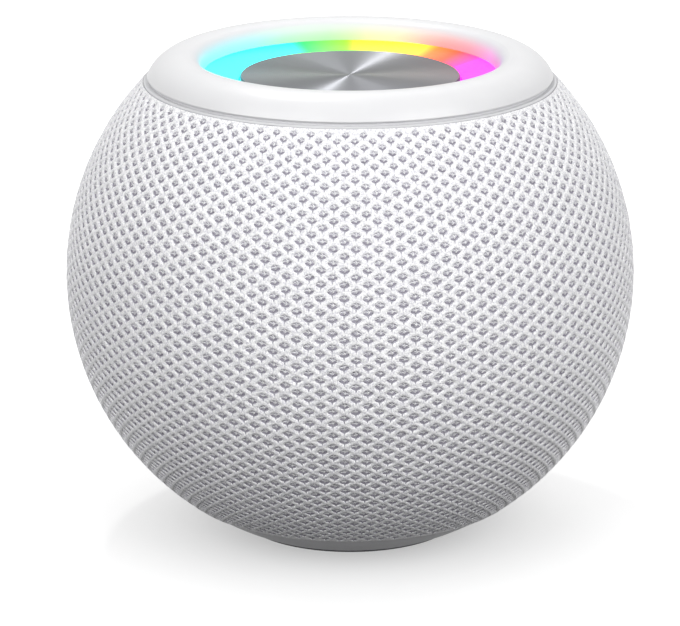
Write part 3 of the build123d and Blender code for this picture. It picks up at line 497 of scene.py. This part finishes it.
# the fine yarns of one eyelet, bent threads with closed ends
def makeThreads(name, trails):
    sides, thick, level = knit["threadSides"], knit["threadThickness"] * mm, Vector((0, 0, 1))
    spots, faces = [], []
    for trail in trails:
        path = [Vector((x, y, knit["threadMiddle"])) * mm for x, y in trail]
        first = len(spots)
        for i, spot in enumerate(path):
            ahead = (path[min(i + 1, len(path) - 1)] - path[max(i - 1, 0)]).normalized()
            over = ahead.cross(level)
            for k in range(sides):
                turn = 2 * math.pi * k / sides
                spots.append(spot + thick * (math.cos(turn) * over + math.sin(turn) * level))
        faces += [(first + i * sides + k, first + i * sides + (k + 1) % sides,
                   first + (i + 1) * sides + (k + 1) % sides, first + (i + 1) * sides + k)
                  for i in range(len(path) - 1) for k in range(sides)]
        faces += [tuple(range(first, first + sides))[::-1],
                  tuple(range(len(spots) - sides, len(spots)))]
    mesh = bpy.data.meshes.new(name)
    mesh.from_pydata(spots, [], faces)
    return mesh


# keeps what lies between two rows' middles and closes the cut strands
def trimRows(mesh, low, high):
    lats = [latLow + row * halfPitch / ball["radius"] for row in (low, high)]
    work = bmesh.new()
    work.from_mesh(mesh)
    gone = []
    for face in work.faces:
        spot = face.calc_center_median() - Vector((0, 0, ball["middle"] * mm))
        lat = math.asin(spot.z / spot.length)
        if lat < lats[0] or lat > lats[1]:
            gone.append(face)
    bmesh.ops.delete(work, geom=gone, context="FACES")
    if low == 0 or high == knit["rows"]:
        hemLat = lats[0] if low == 0 else lats[1]
        hemZ = ball["middle"] + knit["netMiddle"] * math.sin(hemLat)
        rim = [e for e in work.edges if e.is_boundary
               and all(abs(v.co.z / mm - hemZ) < knit["hemBand"] for v in e.verts)]
        bmesh.ops.bridge_loops(work, edges=rim)
        for e in rim:
            e.smooth = False
    closeCut(work, knit["cutSides"])
    work.to_mesh(mesh)
    work.free()


# adds another mesh to a piece and joins what meets
def joinMesh(mesh, other):
    work = bmesh.new()
    work.from_mesh(mesh)
    work.from_mesh(other)
    bmesh.ops.remove_doubles(work, verts=work.verts, dist=knit["weld"] * mm)
    work.to_mesh(mesh)
    work.free()


eyelet, hem = makeEyelet(), makeHem()
netPieces, threadPieces = [], []
for number, (low, high) in enumerate(zip(knit["cuts"], knit["cuts"][1:]), 1):
    first, last = max(low, 1), min(high, knit["rows"] - 1)
    piece = growPiece(f"sleeve_net_{number}", wrapTree, eyelet, {
        **wrapSizes, "First Row": first, "Rows": last - first + 1, "Material": yarnFinish})
    if (low, high) != (first, last):
        edge = growPiece(f"hem_{number}", wrapTree, hem, {
            **wrapSizes, "First Row": 0 if low == 0 else high, "Rows": 1, "Material": yarnFinish})
        joinMesh(piece.data, edge.data)
        bpy.data.objects.remove(edge)
    trimRows(piece.data, low, high)
    cutOpening(piece.data, True)
    netPieces.append(piece)
for name, trails, finish in (("sleeve_threads", knit["threads"], yarnFinish),
                             ("sleeve_painted_shade_threads", knit["paintedShadeThreads"], paintedShadeYarnFinish)):
    seed = makeThreads(name + "Seed", trails)
    for number, (low, high) in enumerate(zip(knit["threadCuts"], knit["threadCuts"][1:]), 1):
        last = min(high, knit["rows"] - 1)  # the hems have no threads
        piece = growPiece(f"{name}_{number}", wrapTree, seed, {
            **wrapSizes, "First Row": low + 1, "Rows": last - low, "Turn": knit["threadTurn"],
            "Material": finish})
        cutOpening(piece.data, True)
        threadPieces.append(piece)
for stage, pieces in (("net", netPieces), ("threads", threadPieces)):
    print(stage, [len(piece.data.polygons) for piece in pieces])


# the sleeve's inner face: one layer turned round the axis, cut for the panel, then thickened
def turnBacking():
    radius = knit["backing"] * mm
    rows, columns = knit["backingRows"], knit["backingColumns"]
    lats = np.linspace(math.asin((ball["fabricLow"] - ball["middle"]) / knit["backing"]),
                       math.asin((ball["fabricHigh"] - ball["middle"]) / knit["backing"]), rows)
    lons = np.arange(columns) * 2 * math.pi / columns
    spots = [(radius * math.cos(a) * math.cos(b), radius * math.cos(a) * math.sin(b),
              ball["middle"] * mm + radius * math.sin(a)) for a in lats for b in lons]
    faces = [(r * columns + c, r * columns + (c + 1) % columns,
              (r + 1) * columns + (c + 1) % columns, (r + 1) * columns + c)
             for r in range(rows - 1) for c in range(columns)]
    mesh = bpy.data.meshes.new("sleeve_inner")
    mesh.from_pydata(spots, [], faces)
    cutOpening(mesh, False)
    mesh.shade_smooth()
    mesh.materials.append(backingPaintedShadeFinish)
    piece = bpy.data.objects.new("sleeve_inner", mesh)
    scene.collection.objects.link(piece)
    wall = piece.modifiers.new("wall", "SOLIDIFY")
    wall.thickness = knit["backingWall"] * mm
    wall.offset = -1
    return piece


sleeve = turnBacking()
for piece in (sleeve, *netPieces, *threadPieces):
    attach(piece, "body")
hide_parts("fabric_cover")
print("sleeve ready")

# raised signs on the rear keys, mm from each key's middle, seen from behind
signs = {
    "dome": 49.85,  # radius of the keys' faces round the ball's middle
    "proud": 0.12,
    "sunk": 0.15,
    "arm": 1.1,
    "half": 0.17,  # half a stroke
    "ring": 0.95,
    "gap": 0.62,  # half of the power ring's opening, radians
    "steps": 25,  # points along that ring
    "stem": 0.1,  # where its bar starts above the middle
    "keys": {"volume_up_key": 57.091, "power_key": 50.891, "volume_down_key": 44.691},
}


# outlines of a plus, a minus and a ring with a bar
def signOutlines():
    arm, half, ring, gap = signs["arm"], signs["half"], signs["ring"], signs["gap"]
    bar = [(-arm, -half), (arm, -half), (arm, half), (-arm, half)]
    plus = [(-half, -arm), (half, -arm), (half, -half), (arm, -half), (arm, half), (half, half),
            (half, arm), (-half, arm), (-half, half), (-arm, half), (-arm, -half), (-half, -half)]
    turns = np.linspace(math.pi / 2 + gap, math.pi * 5 / 2 - gap, signs["steps"])
    outer = [((ring + half) * math.cos(t), (ring + half) * math.sin(t)) for t in turns]
    inner = [((ring - half) * math.cos(t), (ring - half) * math.sin(t)) for t in turns[::-1]]
    low, high = signs["stem"], arm + 2 * half
    stem = [(-half, low), (half, low), (half, high), (-half, high)]
    return {"volume_up_key": [plus], "volume_down_key": [bar], "power_key": [outer + inner, stem]}


def raiseSign(key, outlines):
    work = bmesh.new()
    for outline in outlines:
        loops = []
        for rise in (-signs["sunk"], signs["proud"]):
            loop = []
            for x, z in outline:
                up = z + signs["keys"][key] - ball["middle"]
                y = math.sqrt((signs["dome"] + rise) ** 2 - x * x - up * up)
                loop.append(work.verts.new((x * mm, y * mm, (up + ball["middle"]) * mm)))
            loops.append(loop)
        low, high = loops
        work.faces.new(low)
        work.faces.new(high[::-1])
        for i in range(len(low)):
            k = (i + 1) % len(low)
            work.faces.new((low[k], low[i], high[i], high[k]))
    bmesh.ops.recalc_face_normals(work, faces=work.faces)
    mesh = bpy.data.meshes.new(key.replace("key", "sign"))
    work.to_mesh(mesh)
    work.free()
    return mesh


# pad-printed ink on the raised signs: mid grey and matt
signFinish = grainedFinish("greyInk", ("#7E7E84", "#88888D"), (0.6, 0.7), 0.2, 0.004)
for key, outlines in signOutlines().items():
    mesh = raiseSign(key, outlines)
    mesh.materials.append(signFinish)
    sign = bpy.data.objects.new(mesh.name, mesh)
    scene.collection.objects.link(sign)
    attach(sign, key)
print("signs ready")

# finishes of the CAD nodes, by their slots
finishes = {}
# ABS, moulded and satin: white with soft broad highlights
whiteAbs = (("#D8D8DA", "#DEDEDF"), (0.34, 0.42), 0.25, 0.004, {"IOR": 1.53})
finishes["white_plastic"] = grainedFinish("satinWhiteAbs", *whiteAbs)
# ABS, moulded and matt: pale grey
finishes["collar_plastic"] = grainedFinish(
    "mattGreyAbs", ("#B8B8BC", "#C0C0C3"), (0.45, 0.55), 0.25, 0.006, {"IOR": 1.53})
# the same white ABS, a shade darker than the ring's as painted shade, in the narrow band under the ring
paintedShadeCollarFinish = grainedFinish(
    "paintedShadeWhiteAbs", ("#CACACD", "#D0D0D2"), (0.45, 0.55), 0.25, 0.006, {"IOR": 1.53})
# polycarbonate, moulded and frosted: milky, as a status light that is off
pipeFinish = grainedFinish(
    "frostedPolycarbonate", ("#C6CCCF", "#D2D7D9"), (0.3, 0.4), 0.2, 0.004, {"IOR": 1.58})

# opal polycarbonate with lights behind it: the colours run softly round the ring
glow = {
    "strength": 3.2,
    "paintedGlowStrength": 0.41,  # strength of the painted glow on the dish wall beside it
    "lead": 0.02,  # share of a turn by which that painted glow is ahead of the ring's
    "wallLow": 81.6,  # heights and radii between which that painted glow fades, mm
    "wallHigh": 84.9,
    "wallRadius": 26.6,
    "crestRadius": 29.4,
    "paintedGlowWallBase": "#A0A0A2",  # darker base colour painted where that glow is
    "stops": [  # share of a turn from the right: magenta, red, yellow, green, cyan, blue, violet
        (0.0, "#8A00A0"), (0.03, "#FF00F0"), (0.075, "#FF1074"), (0.111, "#FF3406"),
        (0.142, "#FF5600"), (0.17, "#FFB800"), (0.205, "#FFF000"), (0.255, "#66FF00"),
        (0.306, "#08FF4A"), (0.361, "#08F4FF"), (0.5, "#08F4FF"), (0.68, "#1048FF"),
        (0.92, "#7808FF"), (1.0, "#8A00A0")],
}


# the ring's colour at each point's angle round the axis
def ringColour(tree, parts, lead):
    angle = addNode(tree, "ShaderNodeMath", {"operation": "ARCTAN2"}, {
        0: parts.outputs["Y"], 1: parts.outputs["X"]})
    turn = addNode(tree, "ShaderNodeMath", {"operation": "DIVIDE"}, {
        0: angle.outputs[0], 1: 2 * math.pi})
    ahead = addNode(tree, "ShaderNodeMath", {"operation": "SUBTRACT"}, {
        0: turn.outputs[0], 1: lead})
    whole = addNode(tree, "ShaderNodeMath", {"operation": "FRACT"}, {0: ahead.outputs[0]})
    colours = addNode(tree, "ShaderNodeValToRGB", {}, {"Fac": whole.outputs[0]})
    band = colours.color_ramp
    for share, hexColour in glow["stops"][1:-1]:  # the band has its two ends already
        band.elements.new(share)
    for element, (share, hexColour) in zip(band.elements, glow["stops"]):
        element.color = linear(hexColour)
    return colours.outputs["Color"]


opal, tree, shader = newFinish("litOpalPolycarbonate", {
    "Base Color": linear("#202024"), "Roughness": 0.4, "IOR": 1.58, "Specular IOR Level": 0.3,
    "Emission Strength": glow["strength"]})
place = addNode(tree, "ShaderNodeTexCoord")
parts = addNode(tree, "ShaderNodeSeparateXYZ", {}, {0: place.outputs["Object"]})
tree.links.new(ringColour(tree, parts, 0.0), shader.inputs["Emission Color"])
finishes["opal_plastic"] = opal

# the same white ABS, with painted light on its dish wall: coloured emission and a darker base colour stand
# in for the light ring's glow falling on it
paintedGlowRing = grainedFinish("paintedGlowWhiteAbs", *whiteAbs)
tree = paintedGlowRing.node_tree
shader = tree.nodes["Principled BSDF"]
place = addNode(tree, "ShaderNodeTexCoord")
parts = addNode(tree, "ShaderNodeSeparateXYZ", {}, {0: place.outputs["Object"]})
deep = addNode(tree, "ShaderNodeMapRange", {"interpolation_type": "SMOOTHSTEP"}, {
    "Value": parts.outputs["Z"], "From Min": glow["wallLow"] * mm,
    "From Max": glow["wallHigh"] * mm, "To Min": 1.0, "To Max": 0.0})
inner = addNode(tree, "ShaderNodeMapRange", {"interpolation_type": "SMOOTHSTEP"}, {
    "Value": fromAxis(tree, place), "From Min": glow["wallRadius"] * mm,
    "From Max": glow["crestRadius"] * mm, "To Min": 1.0, "To Max": 0.0})
# painted glow: where the dish wall takes coloured emission and a darker base colour
paintedGlowMask = addNode(tree, "ShaderNodeMath", {"operation": "MULTIPLY"}, {
    0: deep.outputs[0], 1: inner.outputs[0]})
white = shader.inputs["Base Color"].links[0].from_socket
paintedGlowBase = addNode(tree, "ShaderNodeMix", {"data_type": "RGBA"}, {
    0: paintedGlowMask.outputs[0], 6: white, 7: linear(glow["paintedGlowWallBase"])})
paintedGlowStrength = addNode(tree, "ShaderNodeMath", {"operation": "MULTIPLY"}, {
    0: paintedGlowMask.outputs[0], 1: glow["paintedGlowStrength"]})
tree.links.new(paintedGlowBase.outputs[2], shader.inputs["Base Color"])
tree.links.new(ringColour(tree, parts, glow["lead"]), shader.inputs["Emission Color"])
tree.links.new(paintedGlowStrength.outputs[0], shader.inputs["Emission Strength"])

# aluminium, face-turned: fine rings round the middle that draw the light out into spokes
disc = {
    "face": "#7C7D81",
    "rim": "#2E2F32",  # painted shade on the chamfer and the side, which are darker
    "paintedShadeRimFrom": 18.92,  # radii between which that painted shade starts, mm
    "paintedShadeRimTo": 19.0,
    "groove": 0.35,  # mm between rings, drawn coarser than they are cut
    "bump": 0.3,
    "depth": 0.02,
}
turnedFinish, tree, shader = newFinish("turnedAluminium", {
    "Metallic": 1.0, "Roughness": 0.36, "Anisotropic": 1.0, "Anisotropic Rotation": 0.25})
place = addNode(tree, "ShaderNodeTexCoord")
# painted shade: the chamfer and side go darker from the rim's inner radius outwards
edge = addNode(tree, "ShaderNodeMapRange", {}, {
    "Value": fromAxis(tree, place), "From Min": disc["paintedShadeRimFrom"] * mm,
    "From Max": disc["paintedShadeRimTo"] * mm})
tint = addNode(tree, "ShaderNodeMix", {"data_type": "RGBA"}, {
    0: edge.outputs["Result"], 6: linear(disc["face"]), 7: linear(disc["rim"])})
tree.links.new(tint.outputs[2], shader.inputs["Base Color"])
waveScale = 0.3  # gives about one ring in each unit of length
rings = addNode(tree, "ShaderNodeTexWave", {"wave_type": "RINGS", "rings_direction": "Z"}, {
    "Vector": place.outputs["Object"], "Scale": waveScale / (disc["groove"] * mm),
    "Distortion": 0.0})
bump = addNode(tree, "ShaderNodeBump", {}, {
    "Height": rings.outputs["Fac"], "Strength": disc["bump"], "Distance": disc["depth"] * mm})
tangent = addNode(tree, "ShaderNodeTangent", {"direction_type": "RADIAL", "axis": "Z"})
tree.links.new(bump.outputs["Normal"], shader.inputs["Normal"])
tree.links.new(tangent.outputs["Tangent"], shader.inputs["Tangent"])
finishes["turned_aluminium"] = turnedFinish

metal = {"Metallic": 1.0}
plain = {  # name, shades, gloss, grain in mm, depth in mm, other values
    "foot_rubber": ("siliconeRubber", ("#4A4A4D", "#56565A"), (0.7, 0.85), 0.3, 0.02, {}),
    "black_plastic": ("blackAbs", ("#18181A", "#202023"), (0.45, 0.6), 0.3, 0.01, {}),
    "panel_plastic": ("greyAbs", ("#C9C9CD", "#D3D3D6"), (0.45, 0.55), 0.25, 0.008, {}),
    "key_rubber": ("softTouchKey", ("#ECECEE", "#F1F1F2"), (0.5, 0.6), 0.2, 0.006, {}),
    "board": ("greenFibreglass", ("#1D4A33", "#26573D"), (0.4, 0.55), 0.4, 0.01, {}),
    "chip_plastic": ("blackEpoxy", ("#1B1B1D", "#262628"), (0.55, 0.7), 0.2, 0.01, {}),
    "led_plastic": ("whiteLedCeramic", ("#E9E6DA", "#F2F0E6"), (0.35, 0.5), 0.3, 0.005, {}),
    "shield_steel": ("nickelPlatedSteel", ("#B4B3AE", "#C0BFBA"), (0.28, 0.36), 0.2, 0.004, metal),
    "screw_steel": ("zincPlatedSteel", ("#A9ABAE", "#BBBDC0"), (0.3, 0.4), 0.2, 0.006, metal),
    "motor_steel": ("plainSteel", ("#8D8F92", "#9A9C9F"), (0.35, 0.5), 0.25, 0.01, metal),
    "capacitor_can": ("drawnAluminiumCan", ("#A5A6AA", "#B4B5B9"), (0.3, 0.4), 0.2, 0.006, metal),
    "cone_paper": ("pressedPaper", ("#232325", "#323235"), (0.8, 0.95), 0.35, 0.05, {}),
    "coil_copper": ("enamelledCopper", ("#A8572E", "#BC6C3C"), (0.25, 0.4), 0.2, 0.03, metal),
    "spider_cloth": ("resinCotton", ("#B98A3E", "#CBA05A"), (0.75, 0.9), 0.4, 0.06, {}),
    "soft_rubber": ("butylRubber", ("#1C1C1D", "#272729"), (0.6, 0.75), 0.3, 0.02, {}),
    "knit_fabric": ("hiddenKnit", ("#B9B8BE", "#D2D1D6"), (0.85, 0.95), 0.4, 0.05, {}),
}
for slotName, (name, shades, gloss, grain, depth, values) in plain.items():
    finishes[slotName] = grainedFinish(name, shades, gloss, grain, depth, values)

# the driver's two soft rings, which stretch between its frame and its moving cone, mm
surround = {
    "slot": "soft_rubber",
    "inside": 14.3,  # radii of its two flat edges
    "outside": 19.0,
    "low": 28.9,  # heights of their faces
    "high": 29.4,
    "roll": 16.65,  # radius at the middle of the half-round roll between them
    "rollInner": 0.65,
    "rollOuter": 1.15,
    "innerSteps": 13,
    "outerSteps": 17,
    "follow": [  # radius and share of the cone's stroke there
        (15.5, 1.0), (16.1, 0.85), (16.65, 0.5), (17.2, 0.15), (17.8, 0.0)],
}
spider = {
    "slot": "spider_cloth",
    "pleats": [  # radius and height
        (6.26, 35.2), (6.778, 35.6), (7.295, 35.2), (7.813, 34.8), (8.33, 35.2), (8.848, 35.6),
        (9.365, 35.2), (9.883, 34.8), (10.4, 35.2), (11.35, 35.2)],
    "thickness": 0.3,
    "follow": [(6.6, 1.0), (6.95, 0.46), (7.8, 0.40), (8.9, 0.17), (10.4, 0.0)],
}
ringSteps = 96  # steps round the axis


# the roll hangs from its two flat edges, with its inner face first
def surroundOutline():
    low, high = surround["low"], surround["high"]
    roll, small, large = surround["roll"], surround["rollInner"], surround["rollOuter"]
    inner = [(roll + small * math.cos(t), low - small * math.sin(t))
             for t in np.linspace(0, math.pi, surround["innerSteps"])]
    outer = [(roll - large * math.cos(t), low - large * math.sin(t))
             for t in np.linspace(0, math.pi, surround["outerSteps"])]
    return [(surround["outside"], low), (surround["outside"], high), (roll + small, high), *inner,
            (roll - small, high), (surround["inside"], high), (surround["inside"], low), *outer]


def spiderOutline():
    return spider["pleats"] + [(r, z - spider["thickness"]) for r, z in spider["pleats"][::-1]]


# turns an outline round the axis
def turnRing(name, outline, steps):
    count = len(outline)
    turns = np.arange(steps) * 2 * math.pi / steps
    spots = [(r * math.cos(t) * mm, r * math.sin(t) * mm, z * mm)
             for t in turns for r, z in outline]
    faces = [(k * count + i, k * count + (i + 1) % count, (k + 1) % steps * count + (i + 1) % count,
              (k + 1) % steps * count + i) for k in range(steps) for i in range(count)]
    mesh = bpy.data.meshes.new(name)
    mesh.from_pydata(spots, [], faces)
    work = bmesh.new()
    work.from_mesh(mesh)
    bmesh.ops.recalc_face_normals(work, faces=work.faces)
    work.to_mesh(mesh)
    work.free()
    return mesh


for node, ring, outline in (("surround", surround, surroundOutline()),
                            ("spider", spider, spiderOutline())):
    mesh = turnRing(node + "_ring", outline, ringSteps)
    mesh.materials.append(finishes[ring["slot"]])
    piece = bpy.data.objects.new(mesh.name, mesh)
    scene.collection.objects.link(piece)
    inner, outer = ring["follow"][0][0] * mm, ring["follow"][-1][0] * mm
    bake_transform(piece, "body", "diaphragm", start=(outer, 0, 0), end=(inner, 0, 0))
    reach = [math.hypot(v.co.x, v.co.y) / mm for v in mesh.vertices]
    shares = np.interp(reach, *zip(*ring["follow"]))  # the stretch runs inwards all round
    mesh.attributes["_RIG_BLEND"].data.foreach_set("value", shares.astype(np.float32))
    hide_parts(node)
print("soft rings ready")

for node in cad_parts.values():
    for slot in node.material_slots:
        slot.material = finishes[slot.material.name.split(".")[0]]
for name, finish in (("top_ring", paintedGlowRing), ("collar", paintedShadeCollarFinish), ("light_pipe", pipeFinish)):
    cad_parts[name].material_slots[0].material = finish
print("finishes set", len(finishes))

# pale floor: it takes the shadow near the object, has a painted shadow of dimmer emission round the object
# and is plain white further out
floorSet = {
    "half": 2.0,  # half its width, m
    "seen": "#B3B3B3",
    "bounce": "#3C3C3C",  # what it sends back onto the object
    "middle": (0, -0.005, 0),
    "under": (0.008, 0.056, 0.41, 0.67),  # distances from that middle, m, and the emission at each, dimmer near the object as a painted shadow
    "paintedShadowOuter": (0.056, 0.125, 0.0, 0.36),
}
floorMesh = bpy.data.meshes.new("floor")
half = floorSet["half"]
corners = [(-half, -half, 0), (half, -half, 0), (half, half, 0), (-half, half, 0)]
floorMesh.from_pydata(corners, [], [(0, 1, 2, 3)])
floor = bpy.data.objects.new("floor", floorMesh)
scene.collection.objects.link(floor)
floorFinish, tree, shader = newFinish("paleFloorPaintedShadow", {
    "Roughness": 0.9, "Specular IOR Level": 0.1, "Emission Color": (1, 1, 1, 1)})
place = addNode(tree, "ShaderNodeTexCoord")
far = addNode(tree, "ShaderNodeVectorMath", {"operation": "DISTANCE"}, {
    0: place.outputs["Object"], 1: floorSet["middle"]})
rampInputs = ("From Min", "From Max", "To Min", "To Max")
# painted shadow: the emission seen on the floor is lower near the object and rises to white further out
under, paintedShadowOuter = [addNode(tree, "ShaderNodeMapRange", {"interpolation_type": "SMOOTHSTEP"}, {
    "Value": far.outputs["Value"], **dict(zip(rampInputs, floorSet[zone]))})
    for zone in ("under", "paintedShadowOuter")]
paintedShadowFade = addNode(tree, "ShaderNodeMath", {"operation": "ADD"}, {
    0: under.outputs[0], 1: paintedShadowOuter.outputs[0]})
shown = shownRays(tree)
paintedShadowEmission = addNode(tree, "ShaderNodeMath", {"operation": "MULTIPLY"}, {0: paintedShadowFade.outputs[0], 1: shown})
shade = addNode(tree, "ShaderNodeMix", {"data_type": "RGBA"}, {
    0: shown, 6: linear(floorSet["bounce"]), 7: linear(floorSet["seen"])})
tree.links.new(shade.outputs[2], shader.inputs["Base Color"])
tree.links.new(paintedShadowEmission.outputs[0], shader.inputs["Emission Strength"])
floorMesh.materials.append(floorFinish)

# white surroundings for the eye and for gloss, a quieter grey for the light that they give
studio = {
    "fill": 0.18,
    "behind": 1.6,  # stronger low down behind the object, so that its back isn't dim
    "backFrom": 0.1,  # where that starts, as a direction's share towards the back
    "low": (0.1, 0.7),  # and between which shares upwards it fades
}
world = bpy.data.worlds.new("studio")
scene.world = world
world.use_nodes = True
tree = world.node_tree
backdrop = tree.nodes["Background"]
toward = addNode(tree, "ShaderNodeTexCoord")
sides = addNode(tree, "ShaderNodeSeparateXYZ", {}, {0: toward.outputs["Generated"]})
behind = addNode(tree, "ShaderNodeMapRange", {}, {
    "Value": sides.outputs["Y"], "From Min": studio["backFrom"], "To Min": studio["fill"],
    "To Max": studio["behind"]})
low = addNode(tree, "ShaderNodeMapRange", {}, {
    "Value": sides.outputs["Z"], "From Min": studio["low"][0], "From Max": studio["low"][1],
    "To Min": 1.0, "To Max": 0.0})
fill = addNode(tree, "ShaderNodeMix", {"data_type": "FLOAT"}, {
    0: low.outputs["Result"], 2: studio["fill"], 3: behind.outputs["Result"]})
power = addNode(tree, "ShaderNodeMix", {"data_type": "FLOAT"}, {
    0: shownRays(tree), 2: fill.outputs[0], 3: 1.0})
tree.links.new(power.outputs[0], backdrop.inputs["Strength"])
backdrop.inputs["Color"].default_value = (1, 1, 1, 1)

lamps = {  # place in m, watts, width in m
    "leftLamp": ((-0.76, -0.84, 0.70), 12.4, 1.1),
    "rightLamp": ((0.80, -0.80, 0.70), 14.0, 1.1),
    "sectorLamp": ((0.04, 0.75, 0.78), 1.0, 0.45),  # lightens the front and back of the turned disc
    "discLamp": ((-0.19, 0.46, 0.95), 2.2, 0.06),  # draws the streak over it
}
aim = Vector((0, 0, ball["middle"] * mm))
for name, (spot, watts, width) in lamps.items():
    lampData = bpy.data.lights.new(name, "AREA")
    lampData.energy, lampData.size = watts, width
    lamp = bpy.data.objects.new(name, lampData)
    lamp.location = spot
    lamp.rotation_euler = (aim - Vector(spot)).to_track_quat("-Z", "Y").to_euler()
    scene.collection.objects.link(lamp)
print("stage set")
